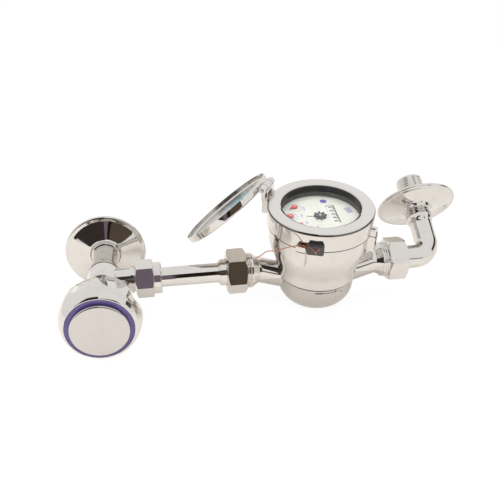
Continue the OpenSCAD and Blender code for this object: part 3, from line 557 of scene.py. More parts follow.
class Finish(Enum):
    """Finishes of the set, by the piece that shows them."""

    CHROME = Plating("chrome_plate")
    # Painted shade: a dark line in the corner under the ledge, and the bowl below it painted darker
    BODY_CHROME = Plating("body_chrome", line_z=-2.75, painted_shade_below=(0.545, 0.52, 0.49))
    INLET_DISH = Plating("inlet_dish_chrome", dish_slope=0.4)
    OUTLET_DISH = Plating("outlet_dish_chrome", dish_slope=0.4, dish_at=tuple(OUTLET @ LEG),
                          dish_turn=OUTLET_TURN)
    CAP_CHROME = Plating("cap_chrome", (0.60, 0.575, 0.555), (0.575, 0.55, 0.53))
    # Painted shade: a dark line under the bezel ring's top edge
    RING_CHROME = Plating("bezel_chrome", satin_normal=tuple(METER_AXIS), satin_rough=0.16,
                          satin_colour=(0.72, 0.70, 0.67), line_z=53.0, line_span=(38.0, 40.0))
    LID_CHROME = Plating("lid_chrome", satin_normal=(-0.594, 0.289, 0.75), satin_rough=0.2,
                         satin_colour=(0.46, 0.455, 0.445))
    BRASS = TurnedMetal("turned_brass", (0.72, 0.53, 0.24), (0.52, 0.36, 0.15))
    STEEL = TurnedMetal("ground_steel", (0.56, 0.56, 0.57), (0.42, 0.41, 0.4))
    COPPER = TurnedMetal("copper_wire", (0.80, 0.38, 0.22), (0.50, 0.20, 0.10), rough=0.2, lines=1800.0)
    RUBBER = Moulding("seal_rubber", (0.012, 0.012, 0.013), (0.03, 0.03, 0.031), rough=0.5)
    FIBRE = Moulding("gasket_fibre", (0.10, 0.09, 0.08), (0.16, 0.14, 0.12), rough=0.8, depth=1.5e-5)
    WHITE = Moulding("white_moulding", (0.80, 0.79, 0.74), (0.74, 0.73, 0.68), rough=0.45)
    DIAL = Moulding("dial_card", (0.73, 0.72, 0.655), (0.69, 0.68, 0.61), rough=0.5, depth=2e-6)
    IVORY = Moulding("ivory_gear", (0.76, 0.70, 0.54), (0.68, 0.61, 0.45), rough=0.4)
    DARK = Moulding("dark_housing", (0.075, 0.068, 0.068), (0.10, 0.092, 0.090), rough=0.38)
    STAR = Moulding("star_plastic", (0.030, 0.034, 0.030), (0.050, 0.054, 0.048), rough=0.35)
    RED = Moulding("pointer_red", (0.72, 0.055, 0.045), (0.60, 0.04, 0.035), rough=0.32, coat=0.3)
    VIOLET = Moulding("marker_violet", (0.155, 0.110, 0.365), (0.120, 0.085, 0.30), rough=0.3, coat=0.4)
    MAGNET = Moulding("magnet_ferrite", (0.035, 0.034, 0.034), (0.06, 0.058, 0.056), rough=0.6, depth=1e-5)
    LEAD = Moulding("seal_lead", (0.075, 0.070, 0.074), (0.115, 0.108, 0.112), rough=0.42, depth=2e-5,
                    metallic=0.6)
    GLASS = ClearPane("window_pane")
    BLACK_INK = Moulding("ink_black", (0.02, 0.02, 0.022), (0.04, 0.04, 0.042), rough=0.5, depth=1e-6)
    BLUE_INK = Moulding("ink_blue", (0.16, 0.22, 0.58), (0.24, 0.31, 0.64), rough=0.5, depth=1e-6)
    DEEP_INK = Moulding("ink_violet", (0.07, 0.06, 0.36), (0.10, 0.09, 0.42), rough=0.45, depth=1e-6)
    GREY_INK = Moulding("ink_grey", (0.42, 0.42, 0.38), (0.50, 0.50, 0.46), rough=0.5, depth=1e-6)
    LILAC_INK = Moulding("ink_lilac", (0.30, 0.26, 0.42), (0.42, 0.38, 0.52), rough=0.45, depth=1e-6)


CHROMED = ("valve_body", "knob", "compression_nut", "inlet_tube",
           "inlet_union_nut", "outlet_union_nut", "outlet_elbow")
GEARS = ("gear_a", "gear_b", *(f"pointer_gear_{n}" for n in range(1, 5)),
         *(f"idler_gear_{n}" for n in range(1, 4)))
NODE_FINISHES: dict[Finish, tuple[str, ...]] = {
    Finish.CHROME: CHROMED,
    Finish.BODY_CHROME: ("meter_body",),
    Finish.INLET_DISH: ("inlet_rosette",),
    Finish.OUTLET_DISH: ("outlet_rosette",),
    Finish.CAP_CHROME: ("knob_cap",),
    Finish.RING_CHROME: ("bezel_ring",),
    Finish.LID_CHROME: ("lid",),
    Finish.BRASS: ("valve_bonnet", "valve_spindle", "valve_disc", "compression_ring", "clamp_ring"),
    Finish.STEEL: ("knob_screw", "impeller_pin", "counter_shaft", "hinge_pin"),
    Finish.RUBBER: ("valve_washer", "window_gasket"),
    Finish.FIBRE: ("inlet_gasket", "outlet_gasket"),
    Finish.WHITE: ("inlet_strainer", "impeller", "pressure_plate", "base_plate",
                   *(f"number_wheel_{n}" for n in range(1, 6))),
    Finish.DIAL: ("dial_plate",),
    Finish.IVORY: ("centre_arbor", *GEARS),
    Finish.DARK: ("register_cup",),
    Finish.STAR: ("star_wheel",),
    Finish.RED: tuple(f"pointer_{n}" for n in range(1, 5)),
    Finish.VIOLET: ("knob_ring",),
    Finish.MAGNET: ("impeller_magnet", "follower_magnet"),
    Finish.LEAD: ("seal_block",),
    Finish.GLASS: ("window_glass",),
}


class Workshop:
    """Holds the shared shader groups and makes each material once."""

    def __init__(self) -> None:
        """Builds the shared shader groups."""
        self.effects = Effects()
        self.made: dict[Finish, bpy.types.Material] = {}

    def material(self, finish: Finish) -> bpy.types.Material:
        """Gives the material of a finish, made on first use.

        Args:
            finish: Finish to look up.

        Returns:
            Its material.
        """
        if finish not in self.made:
            self.made[finish] = finish.value.material(self.effects)
        return self.made[finish]

    def piece(self, name: str, mesh: bmesh.types.BMesh, finish: Finish, body: str) -> bpy.types.Object:
        """Turns a mesh into a piece that rides on a CAD body.

        Args:
            name: Name of the piece.
            mesh: Mesh in the row frame, freed here.
            finish: Finish of the piece.
            body: Name of the CAD body.

        Returns:
            The new object.
        """
        bmesh.ops.recalc_face_normals(mesh, faces=mesh.faces)
        data = bpy.data.meshes.new(name)
        mesh.to_mesh(data)
        mesh.free()
        data.materials.append(self.material(finish))
        piece = bpy.data.objects.new(name, data)
        bpy.context.scene.collection.objects.link(piece)
        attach(piece, body)
        LOG.info("piece %s rides on %s", name, body)
        return piece


@dataclass
class CadDress:
    """Gives every CAD node its finish, smooth curved faces and clean creases."""

    shop: Workshop
    crease: float = 28.0
    weld_reach: float = 1e-7

    def dress(self) -> None:
        """Dresses all nodes."""
        for finish, names in NODE_FINISHES.items():
            for name in names:
                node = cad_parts[name]
                node.data.materials.clear()
                node.data.materials.append(self.shop.material(finish))
                self._smooth(node)
                LOG.info("node %s takes %s", name, finish.name)

    def _smooth(self, node: bpy.types.Object) -> None:
        """Shades curved faces smoothly and keeps the creases.

        Args:
            node: Object of a CAD node.
        """
        node.data.polygons.foreach_set("use_smooth", [True] * len(node.data.polygons))
        weld = node.modifiers.new("weld", "WELD")
        weld.merge_threshold = self.weld_reach
        split = node.modifiers.new("creases", "EDGE_SPLIT")
        split.split_angle = math.radians(self.crease)
        split.use_edge_sharp = False


def skin(mesh: bmesh.types.BMesh, rings: Sequence[Sequence[bmesh.types.BMVert]],
         closed: bool = False) -> None:
    """Joins rings of vertices into a tube.

    Args:
        mesh: Mesh that holds the vertices.
        rings: Rings in order, with as many vertices each.
        closed: True where the last ring meets the first, and False where both ends get a face.
    """
    following = [*rings[1:], rings[0]] if closed else rings[1:]
    for one, two in zip(rings, following):
        for k in range(len(one)):
            n = (k + 1) % len(one)
            mesh.faces.new((one[k], one[n], two[n], two[k]))
    if not closed:
        mesh.faces.new(rings[0])
        mesh.faces.new(rings[-1])


@dataclass
class ThreadRidge:
    """One screw thread laid as a helical ridge on a plain CAD cylinder."""

    name: str
    body: Body
    place: Matrix
    radius: float
    start: float
    end: float
    pitch: float = 1.81
    proud: float = 0.32
    sunk: float = 0.04
    foot_share: float = 0.44
    crest_share: float = 0.1
    run_out: float = 1 / 6
    end_height: float = 0.05
    segments: int = 72

    def build(self, shop: Workshop) -> bpy.types.Object:
        """Builds the ridge along the place's z axis.

        Args:
            shop: Workshop that makes the piece.

        Returns:
            The new object.
        """
        mesh = bmesh.new()
        foot = self.foot_share * self.pitch
        run = self.end - self.start - 2 * foot
        steps = max(8, round(self.segments * run / self.pitch))
        rings = []
        for step in range(steps + 1):
            turn = 2 * math.pi * run / self.pitch * step / steps
            height = self.start + foot + run * step / steps
            turns_left = min(step, steps - step) / self.segments
            crest = self.proud * min(1.0, turns_left / self.run_out + self.end_height)
            flat = self.crest_share * self.pitch
            profile = ((-self.sunk, -foot), (crest, -flat), (crest, flat), (-self.sunk, foot))
            ring = []
            for rise, along in profile:
                r = (self.radius + rise) * MM
                spot = Vector((r * math.cos(turn), r * math.sin(turn), (height + along) * MM))
                ring.append(mesh.verts.new(self.place @ spot))
            rings.append(ring)
        skin(mesh, rings)
        piece = shop.piece(self.name, mesh, Finish.CHROME, self.body.value)
        return piece


def all_threads() -> list[ThreadRidge]:
    """Lists the threads that show.

    Returns:
        Wall threads of both ends and the meter's union threads.
    """
    into_wall = Matrix.Rotation(math.radians(-90), 4, "X")
    leg = OUTLET @ Matrix.Translation(LEG) @ into_wall
    right = PIPE @ Matrix.Rotation(math.radians(90), 4, "Y")
    left = PIPE @ Matrix.Rotation(math.radians(-90), 4, "Y")
    wall = {"radius": 10.48, "start": 0.2, "end": 21.6}
    union = {"radius": 13.22, "start": 50.4, "end": 56.6, "pitch": 1.55, "proud": 0.4}
    return [
        ThreadRidge("inlet_wall_thread", Body.VALVE, into_wall, **wall),
        ThreadRidge("outlet_wall_thread", Body.OUTLET, leg, **wall),
        ThreadRidge("inlet_union_thread", Body.METER, left, **union),
        ThreadRidge("outlet_union_thread", Body.METER, right, **union),
    ]


@dataclass
class BezelGapSealAndShade:
    """Dark ring in the gap between the meter body and the bezel ring: a sealing ring that also stands in for
    the shade in that gap.
    """

    shop: Workshop
    inner: float = 36.2
    outer: float = 39.25
    low: float = 39.22
    high: float = 39.58
    segments: int = 96

    def build(self) -> bpy.types.Object:
        """Builds the ring.

        Returns:
            The new object.
        """
        mesh = bmesh.new()
        section = ((self.inner, self.low), (self.outer, self.low),
                   (self.outer, self.high), (self.inner, self.high))
        rings = []
        for step in range(self.segments):
            a = 2 * math.pi * step / self.segments
            spots = [Vector((r * math.cos(a), r * math.sin(a), z)) for r, z in section]
            rings.append([mesh.verts.new(METER @ (spot * MM)) for spot in spots])
        skin(mesh, rings, closed=True)
        # Painted shade: the dark rubber reaches out to the bezel's lower edge to stand in for the shade line
        # there
        piece = self.shop.piece("bezel_gap_seal_and_shade", mesh, Finish.RUBBER, Body.METER.value)
        return piece


def lettering(text: str, size: float, bold: float = 0.022) -> bmesh.types.BMesh:
    """Makes thin closed characters from Blender's own font, centred on the origin.

    Args:
        text: Characters to write.
        size: Height of the type in millimetres.
        bold: Growth of the strokes as a share of the size.

    Returns:
        A mesh in millimetres with x to the right, y up and z out of the print.
    """
    merge_reach = 1e-4
    curve = bpy.data.curves.new("type", "FONT")
    curve.body = text
    curve.size = size
    curve.align_x = "CENTER"
    curve.align_y = "CENTER"
    curve.extrude = TYPE_HALF
    curve.offset = bold * size
    curve.resolution_u = 3
    holder = bpy.data.objects.new("type", curve)
    bpy.context.scene.collection.objects.link(holder)
    graph = bpy.context.evaluated_depsgraph_get()
    data = bpy.data.meshes.new_from_object(holder.evaluated_get(graph))
    mesh = bmesh.new()
    mesh.from_mesh(data)
    bpy.data.objects.remove(holder)
    bpy.data.curves.remove(curve)
    bpy.data.meshes.remove(data)
    bmesh.ops.remove_doubles(mesh, verts=mesh.verts, dist=merge_reach)
    return mesh


class PrintPlate:
    """Collects flat print on the dial, in the dial's own millimetres."""

    def __init__(self, level: float) -> None:
        """Starts an empty print.

        Args:
            level: Height of the printed surface in the meter's frame.
        """
        self.level = level
        self.mesh = bmesh.new()

    def take(self, part: bmesh.types.BMesh, spot: Callable[[Vector], Vector]) -> None:
        """Copies a flat part into the print.

        Args:
            part: Part in millimetres, freed here.
            spot: Gives the place on the dial of a point of the part.
        """
        twin = {vert: self.mesh.verts.new(METER @ (spot(vert.co) * MM)) for vert in part.verts}
        for face in part.faces:
            self.mesh.faces.new([twin[vert] for vert in face.verts])
        part.free()

    def text(self, words: str, size: float, at: tuple[float, float]) -> None:
        """Writes characters on the dial, which is read with +X up.

        Args:
            words: Characters to write.
            size: Height of the type.
            at: Place of the middle on the dial.
        """
        spin = Matrix.Rotation(math.radians(-90), 4, "Z")
        self.take(lettering(words, size),
                  lambda p: spin @ p + Vector((at[0], at[1], self.level + TYPE_HALF)))

    def bar(self, at: tuple[float, float], length: float, width: float, turn: float = 0.0) -> None:
        """Prints a short bar.

        Args:
            at: Middle of the bar.
            length: Length along its own direction.
            width: Width of the bar.
            turn: Direction in degrees.
        """
        part = bmesh.new()
        bmesh.ops.create_cube(part, size=1.0)
        spin = Matrix.Rotation(math.radians(turn), 4, "Z")
        self.take(part, lambda p: spin @ Vector((p.x * length, p.y * width, p.z * INK))
                  + Vector((at[0], at[1], self.level + INK / 2)))

    def arc(self, at: tuple[float, float], radius: float, width: float, start: float = 0.0,
            end: float = 360.0) -> None:
        """Prints a ring or part of one.

        Args:
            at: Middle of the ring.
            radius: Radius of its middle line.
            width: Width of the line.
            start: First angle in degrees.
            end: Last angle in degrees.
        """
        part = bmesh.new()
        step_angle = 6
        steps = max(6, round(abs(end - start) / step_angle))
        closed = abs(end - start) >= 360
        inner, outer = radius - width / 2, radius + width / 2
        rings = []
        for step in range(steps if closed else steps + 1):
            a = math.radians(start + (end - start) * step / steps)
            rings.append([part.verts.new((r * math.cos(a), r * math.sin(a), z))
                          for r, z in ((inner, 0), (outer, 0), (outer, INK), (inner, INK))])
        skin(part, rings, closed)
        self.take(part, lambda p: p + Vector((at[0], at[1], self.level)))


def around(middle: tuple[float, float], radius: float, angle: float) -> tuple[float, float]:
    """Gives a place on a circle.

    Args:
        middle: Middle of the circle.
        radius: Radius of the circle.
        angle: Angle in degrees.

    Returns:
        The place.
    """
    a = math.radians(angle)
    return middle[0] + radius * math.cos(a), middle[1] + radius * math.sin(a)


@dataclass
class DialPrint:
    """Print on the dial card and on the number wheels."""

    shop: Workshop
    dial_top: float = 42.5
    pointer_ring: float = 21.75
    pointer_azimuth: float = 138.0
    pointer_step: float = 35.5
    pointer_count: int = 4
    small_r: float = 5.35
    small_line: float = 0.22
    mark_r: float = 4.9
    mark_length: float = 0.7
    number_r: float = 3.75
    number_size: float = 1.35
    factor_size: float = 1.9
    factor_spots: tuple[tuple[float, float], ...] = ((-9.6, 12.2), (-13.2, 3.4), (-11.4, -6.4), (-4.6, -12.6))
    counter: tuple[float, float, float] = (10.5, 3.0, 37.4)
    wheel_r: float = 4.8
    wheel_pitch: float = 4.7
    wheel_count: int = 5
    digit_size: float = 3.9
    digit_bold: float = 0.042
    digit_angle: float = 36.0

    def build(self) -> None:
        """Prints the dial and the wheels."""
        for index in range(self.wheel_count):
            self._wheel(index)
        self._plate("dial_print_black", Finish.BLACK_INK, self._black)
        self._plate("dial_print_blue", Finish.BLUE_INK, self._blue)
        self._plate("dial_print_grey", Finish.GREY_INK, self._grey)
        self._plate("dial_print_violet", Finish.DEEP_INK, self._violet)
        self._plate("dial_print_lilac", Finish.LILAC_INK, self._lilac)

    def _plate(self, name: str, finish: Finish, draw: Callable[[PrintPlate], None]) -> None:
        """Makes one colour of the print.

        Args:
            name: Name of the piece.
            finish: Ink.
            draw: Draws into the print.
        """
        plate = PrintPlate(self.dial_top)
        draw(plate)
        self.shop.piece(name, plate.mesh, finish, Body.METER.value)

    def _centres(self) -> list[tuple[float, float]]:
        """Middles of the small dials, from the fastest."""
        angles = (self.pointer_azimuth + n * self.pointer_step for n in range(self.pointer_count))
        return [around((0.0, 0.0), self.pointer_ring, angle) for angle in angles]

    def _black(self, plate: PrintPlate) -> None:
        """Prints the star's index line and the marks of the small dials.

        Args:
            plate: Print to draw into.
        """
        plate.bar(at=(-7.6, 1.7), length=4.8, width=0.9, turn=170)
        for middle in self._centres():
            for mark in range(10):
                angle = self.digit_angle * mark
                plate.bar(around(middle, self.mark_r, angle), self.mark_length, self.small_line, angle)

    def _blue(self, plate: PrintPlate) -> None:
        """Prints the rings, numbers and factors of the small dials.

        Args:
            plate: Print to draw into.
        """
        for middle in self._centres():
            plate.arc(middle, self.small_r, self.small_line)
            for mark in range(10):
                spot = around(middle, self.number_r, -self.digit_angle * mark)
                plate.text(str(mark), self.number_size, spot)
        for n, spot in enumerate(self.factor_spots):
            plate.text("x0." + "0" * (self.pointer_count - 1 - n) + "1", self.factor_size, spot)

    def _grey(self, plate: PrintPlate) -> None:
        """Prints scale arcs and short lines of a plain dial.

        Args:
            plate: Print to draw into.
        """
        plate.arc(at=(16.8, 17.0), radius=3.0, width=0.55, start=10, end=130)
        plate.arc(at=(18.6, 13.6), radius=2.6, width=0.5, start=10, end=130)
        for row in range(5):
            plate.bar(at=(-4.6 + 0.4 * row, 19.5 - 2.2 * row), length=1.5, width=0.4)
            plate.bar(at=(0.6 + 0.2 * row, 18.6 - 2.2 * row), length=1.5, width=0.4)
        for row in range(9):
            plate.bar(at=(-4.0 + 1.5 * row, -11.2), length=0.8, width=0.5)

    def _violet(self, plate: PrintPlate) -> None:
        """Prints a plain round spot beside the counter."""
        plate.arc(at=(7.3, 21.0), radius=1.35, width=2.6)

    def _lilac(self, plate: PrintPlate) -> None:
        """Prints a plain patch at the dial's edge."""
        plate.bar(at=(23.2, 6.2), length=4.6, width=7.4, turn=12)

    def _wheel(self, index: int) -> None:
        """Prints the ten digits of one number wheel.

        Args:
            index: Place of the wheel from the fastest.
        """
        x, y, z = self.counter
        middle = y + (-self.wheel_count / 2 + index + 0.5) * self.wheel_pitch
        plate = PrintPlate(0.0)
        for digit in range(10):
            base = -math.radians(self.digit_angle * digit)

            def wrap(p: Vector, base: float = base) -> Vector:
                """Bends a flat point of a digit round the wheel.

                Args:
                    p: Point of the flat digit.
                    base: Angle of the digit on the wheel.

                Returns:
                    The point on the wheel.
                """
                a = base + p.y / self.wheel_r
                r = self.wheel_r + TYPE_HALF + p.z
                return Vector((x + r * math.sin(a), middle - p.x, z + r * math.cos(a)))

            plate.take(lettering(str(digit), self.digit_size, self.digit_bold), wrap)
        body = f"number_{index + 1}"
        piece = self.shop.piece(f"wheel_digits_{index + 1}", plate.mesh, Finish.BLACK_INK, body)


@dataclass
class SealWire:
    """Twisted copper wire of the seal, from the seal block over the ear to its free tail."""

    shop: Workshop
    route: tuple[Point, ...] = (
        (-18.6, -37.8, 44.5), (-20.2, -36.6, 44.5), (-22.0, -35.2, 44.5), (-26.5, -35.7, 44.9),
        (-31.0, -36.4, 44.9), (-36.0, -36.6, 43.8), (-41.0, -36.3, 42.6), (-46.0, -36.0, 42.4),
        (-50.0, -36.0, 39.5), (-54.0, -36.0, 37.5))
    strand_r: float = 0.24
    lay_r: float = 0.22
    lay_pitch: float = 2.6
    sides: int = 10
    steps: int = 14

    def _smooth(self) -> list[Vector]:
        """Runs a smooth curve through the route's points.

        Returns:
            Points of the curve in the meter's millimetres.
        """
        points = [Vector(p) for p in self.route]
        ends = [2 * points[0] - points[1], *points, 2 * points[-1] - points[-2]]
        line = []
        for a, b, c, d in zip(ends, ends[1:], ends[2:], ends[3:]):
            for step in range(self.steps):
                t = step / self.steps
                line.append(0.5 * (2 * b + (c - a) * t + (2 * a - 5 * b + 4 * c - d) * t * t
                                   + (3 * b - a - 3 * c + d) * t * t * t))
        return [*line, points[-1]]

    def build(self) -> bpy.types.Object:
        """Returns:
            The new object.
        """
        line = self._smooth()
        travel = [0.0]
        for one, two in zip(line, line[1:]):
            travel.append(travel[-1] + (two - one).length)
        mesh = bmesh.new()
        for strand in range(2):
            self._strand(mesh, line, travel, math.pi * strand)
        piece = self.shop.piece("seal_wire_twisted", mesh, Finish.COPPER, Body.METER.value)
        for face in piece.data.polygons:
            face.use_smooth = True
        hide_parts("seal_wire")
        return piece

    def _strand(self, mesh: bmesh.types.BMesh, line: list[Vector], travel: list[float],
                phase: float) -> None:
        """Adds one strand that winds round the line.

        Args:
            mesh: Mesh to add to.
            line: Points of the wire's middle line.
            travel: Length of the line up to each point.
            phase: Turn of the strand at the line's start.
        """
        centres = []
        for k, point in enumerate(line):
            ahead = (line[min(k + 1, len(line) - 1)] - line[max(k - 1, 0)]).normalized()
            side = ahead.cross(Vector((0, 0, 1))).normalized()
            up = side.cross(ahead)
            a = phase + 2 * math.pi * travel[k] / self.lay_pitch
            centres.append((point + self.lay_r * (math.cos(a) * side + math.sin(a) * up), side, up))
        rings = []
        for centre, side, up in centres:
            ring = []
            for k in range(self.sides):
                b = 2 * math.pi * k / self.sides
                spot = centre + self.strand_r * (math.cos(b) * side + math.sin(b) * up)
                ring.append(mesh.verts.new(METER @ (spot * MM)))
            rings.append(ring)
        skin(mesh, rings)


@dataclass
class SealTie:
    """Wire ends tied across the front of the seal block."""

    shop: Workshop
    azimuth: float = 252.0
    face: float = 43.5
    middle: float = 43.7
    wire_r: float = 0.36
    sides: int = 8
    lift: float = 1.1
    stack: float = 1.4
    strands: tuple[tuple[tuple[float, float], ...], ...] = (
        ((-3.4, 2.9), (-1.4, 0.9), (0.2, -0.9), (0.6, -2.6)),
        ((3.0, 2.7), (1.6, 1.0), (0.3, -0.5)))

    def build(self) -> bpy.types.Object:
        """Builds the strands as one piece.

        Returns:
            The new object.
        """
        mesh = bmesh.new()
        turn = Matrix.Rotation(math.radians(self.azimuth), 4, "Z")
        for order, strand in enumerate(self.strands):
            rings = []
            for across, rise in strand:
                ring = []
                for k in range(self.sides):
                    a = 2 * math.pi * k / self.sides
                    out = self.face + self.wire_r * (self.lift + self.stack * order + math.cos(a))
                    spot = turn @ Vector((out, across + self.wire_r * math.sin(a), self.middle + rise))
                    ring.append(mesh.verts.new(METER @ (spot * MM)))
                rings.append(ring)
            skin(mesh, rings)
        piece = self.shop.piece("seal_tie", mesh, Finish.COPPER, Body.METER.value)
        return piece


@dataclass(frozen=True)
class Lamp:
    """Large soft lamp that gloss can't see, with its share of the lamp power."""

    name: str
    spot: Point
    size: float
    share: float


@dataclass(frozen=True)
class Card:
    """Flat glowing card that only gloss can see, at its middle and facing one way."""

    name: str
    spot: Point
    size: tuple[float, float]
    facing: Point
    colour: Colour


LAMPS = (
    Lamp("lamp_over", (0.1, -0.1, 0.9), 0.9, 1.0),
    Lamp("lamp_left", (-0.6, -0.5, 0.6), 0.6, 0.5),
)
TO_WALL = (0.0, 1.0, 0.0)
FROM_WALL = (0.0, -1.0, 0.0)
TO_INLET = (-1.0, 0.0, 0.0)
BLACK_CARD = (0.022, 0.014, 0.009)
UMBER_CARD = (0.045, 0.036, 0.032)
SHADE_CARD = (0.07, 0.058, 0.048)
BROWN_CARD = (0.100, 0.078, 0.058)
DUSK_CARD = (0.19, 0.15, 0.19)
SKY_CARD = (0.3, 0.76, 0.88)
WHITE_CARD = (1.0, 1.0, 1.0)
CARDS = (
    Card("card_high", (-0.37, -0.66, 1.01), (0.74, 1.0), TO_WALL, UMBER_CARD),
    Card("card_front", (0.40, -0.66, 0.34), (0.52, 0.62), TO_WALL, BROWN_CARD),
    Card("card_tube", (0.10, -0.66, 0.34), (0.08, 0.62), TO_WALL, BLACK_CARD),
    Card("card_middle", (0.015, -0.66, 0.31), (0.09, 0.68), TO_WALL, DUSK_CARD),
    Card("card_left", (-0.465, -0.66, 0.24), (0.87, 0.545), TO_WALL, UMBER_CARD),
    Card("card_east", (0.98, -0.05, 0.27), (0.55, 0.30), TO_INLET, SHADE_CARD),
    Card("card_fill", (0.2425, -0.15, 0.08), (0.135, 0.12), TO_WALL, WHITE_CARD),
    Card("card_sky", (0.085, 0.25, 0.005), (0.028, 0.05), FROM_WALL, SKY_CARD),
)


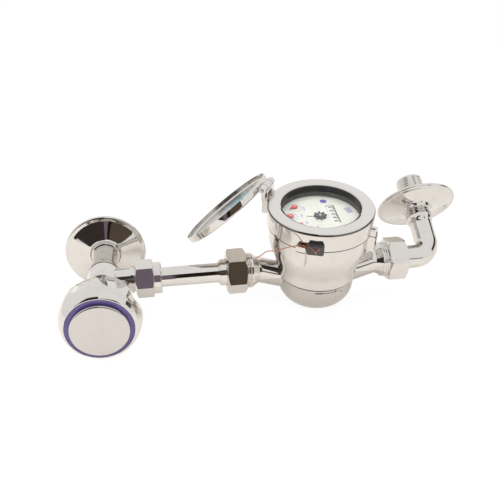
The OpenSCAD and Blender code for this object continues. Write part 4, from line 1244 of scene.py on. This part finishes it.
@dataclass
class Studio:
    """Camera, soft light, white floor and the cards that polished metal mirrors."""

    eye: Point = (0.04684, -0.47044, 0.25658)
    right: Point = (0.9885, -0.1511, -0.0047)
    up: Point = (0.0779, 0.4824, 0.8725)
    lens: float = 46.81
    sensor: float = 36.0
    near_clip: float = 0.01
    floor_spot: Point = (0.13, 0.1, -0.0332)
    floor_size: tuple[float, float] = (3.0, 3.0)
    floor_paper: Colour = (0.86, 0.83, 0.795)
    floor_seen: Colour = (0.2, 0.2, 0.2)
    seen_glow: float = 0.90
    mirror_glow: float = 0.34
    mirror_colour: Colour = (1.0, 0.955, 0.91)
    ambient: float = 0.5
    lamp_power: float = 4.2
    lamp_aim: Point = (0.13, -0.05, 0.0)

    def build(self) -> None:
        """Builds the whole stage."""
        self._camera()
        self._world()
        self._floor()
        self._lamps()
        self._cards()

    def _camera(self) -> None:
        """Sets the camera at the photograph's viewing angle."""
        data = bpy.data.cameras.new("camera")
        data.lens = self.lens
        data.sensor_width = self.sensor
        data.clip_start = self.near_clip
        camera = bpy.data.objects.new("camera", data)
        bpy.context.scene.collection.objects.link(camera)
        right = Vector(self.right).normalized()
        back = right.cross(Vector(self.up)).normalized()
        up = back.cross(right)
        turn = Matrix((right, up, back)).transposed().to_4x4()
        camera.matrix_world = Matrix.Translation(self.eye) @ turn
        bpy.context.scene.camera = camera

    @staticmethod
    def _seen(bench: Bench) -> bpy.types.NodeSocket:
        """Tells rays that see the backdrop from rays that only light the object.

        Args:
            bench: Bench of the tree that asks.

        Returns:
            1 for rays from the camera, from gloss and through glass, and 0 for the rest.
        """
        path = bench.add("ShaderNodeLightPath")
        first = bench.math("MAXIMUM", path.outputs["Is Camera Ray"], path.outputs["Is Glossy Ray"])
        return bench.math("MAXIMUM", first, path.outputs["Is Transmission Ray"])

    def _world(self) -> None:
        """Makes the backdrop white to the eye and a plain soft light to the object."""
        world = bpy.data.worlds.new("studio")
        world.use_nodes = True
        bpy.context.scene.world = world
        bench = Bench(world.node_tree)
        back = world.node_tree.nodes["Background"]
        back.inputs["Color"].default_value = (1.0, 1.0, 1.0, 1.0)
        level = bench.add("ShaderNodeMapRange", To_Min=self.ambient, To_Max=1.0)
        bench.join(self._seen(bench), level.inputs["Value"])
        bench.join(level.outputs["Result"], back.inputs["Strength"])

    def _floor(self) -> None:
        """Lays a pale floor that keeps a soft shadow."""
        material = bpy.data.materials.new("studio_floor")
        material.use_nodes = True
        tree = material.node_tree
        tree.nodes.remove(tree.nodes["Principled BSDF"])
        bench = Bench(tree)
        path = bench.add("ShaderNodeLightPath")
        eye = bench.math("MAXIMUM", path.outputs["Is Camera Ray"], path.outputs["Is Transmission Ray"])
        mirror = bench.math("MULTIPLY", path.outputs["Is Glossy Ray"], self.mirror_glow)
        glow = bench.add("ShaderNodeEmission", Color=(*self.mirror_colour, 1.0))
        bench.join(mirror, glow.inputs["Strength"])
        lit = bench.add("ShaderNodeEmission")
        bench.join(bench.math("MULTIPLY", eye, self.seen_glow), lit.inputs["Strength"])
        paper = bench.add("ShaderNodeBsdfDiffuse")
        shade = bench.add("ShaderNodeMix", data_type="RGBA")
        shade.inputs["A"].default_value = (*self.floor_paper, 1.0)
        shade.inputs["B"].default_value = (*self.floor_seen, 1.0)
        bench.join(eye, shade.inputs["Factor"])
        bench.join(shade.outputs["Result"], paper.inputs["Color"])
        both = bench.add("ShaderNodeAddShader")
        bench.join(glow.outputs["Emission"], both.inputs[0])
        bench.join(paper.outputs["BSDF"], both.inputs[1])
        whole = bench.add("ShaderNodeAddShader")
        bench.join(both.outputs["Shader"], whole.inputs[0])
        bench.join(lit.outputs["Emission"], whole.inputs[1])
        bench.join(whole.outputs["Shader"], tree.nodes["Material Output"].inputs["Surface"])
        self._card("studio_floor", self.floor_spot, self.floor_size, (0.0, 0.0, 1.0), material)

    def _lamps(self) -> None:
        """Hangs the large soft lamps."""
        for lamp in LAMPS:
            data = bpy.data.lights.new(lamp.name, "AREA")
            data.size = lamp.size
            data.energy = lamp.share * self.lamp_power
            light = bpy.data.objects.new(lamp.name, data)
            bpy.context.scene.collection.objects.link(light)
            light.location = lamp.spot
            aim = Vector(self.lamp_aim) - Vector(lamp.spot)
            light.rotation_mode = "QUATERNION"
            light.rotation_quaternion = aim.to_track_quat("-Z", "Y")
            light.visible_glossy = False

    def _cards(self) -> None:
        """Stands the cards that only gloss can see."""
        for card in CARDS:
            material = bpy.data.materials.new(card.name)
            material.use_nodes = True
            tree = material.node_tree
            tree.nodes.remove(tree.nodes["Principled BSDF"])
            bench = Bench(tree)
            glow = bench.add("ShaderNodeEmission", Color=(*card.colour, 1.0))
            bench.join(glow.outputs["Emission"], tree.nodes["Material Output"].inputs["Surface"])
            sheet = self._card(card.name, card.spot, card.size, card.facing, material)
            sheet.visible_camera = False
            sheet.visible_diffuse = False
            sheet.visible_shadow = False
            sheet.visible_transmission = False

    @staticmethod
    def _card(name: str, spot: Point, size: tuple[float, float], facing: Point,
              material: bpy.types.Material) -> bpy.types.Object:
        """Makes one flat stage card.

        Args:
            name: Name of the card.
            spot: Its middle.
            size: Its width and height.
            facing: Direction of its face.
            material: Its material.

        Returns:
            The new object.
        """
        mesh = bmesh.new()
        turn = Vector(facing).to_track_quat("Z", "Y").to_matrix().to_4x4()
        corners = [Vector((sx * size[0] / 2, sy * size[1] / 2, 0.0))
                   for sx, sy in ((-1, -1), (1, -1), (1, 1), (-1, 1))]
        mesh.faces.new([mesh.verts.new(Matrix.Translation(spot) @ turn @ c) for c in corners])
        data = bpy.data.meshes.new(name)
        mesh.to_mesh(data)
        mesh.free()
        data.materials.append(material)
        card = bpy.data.objects.new(name, data)
        bpy.context.scene.collection.objects.link(card)
        return card


def main() -> None:
    """Builds the stage, dresses the CAD nodes and adds the pieces that only the looks need."""
    logging.basicConfig(level=logging.INFO, format="%(name)s %(message)s")
    bpy.context.scene.view_settings.view_transform = "Standard"
    shop = Workshop()
    Studio().build()
    SealWire(shop).build()
    CadDress(shop).dress()
    for thread in all_threads():
        thread.build(shop)
    BezelGapSealAndShade(shop).build()
    SealTie(shop).build()
    DialPrint(shop).build()


if __name__ == "__main__":
    main()
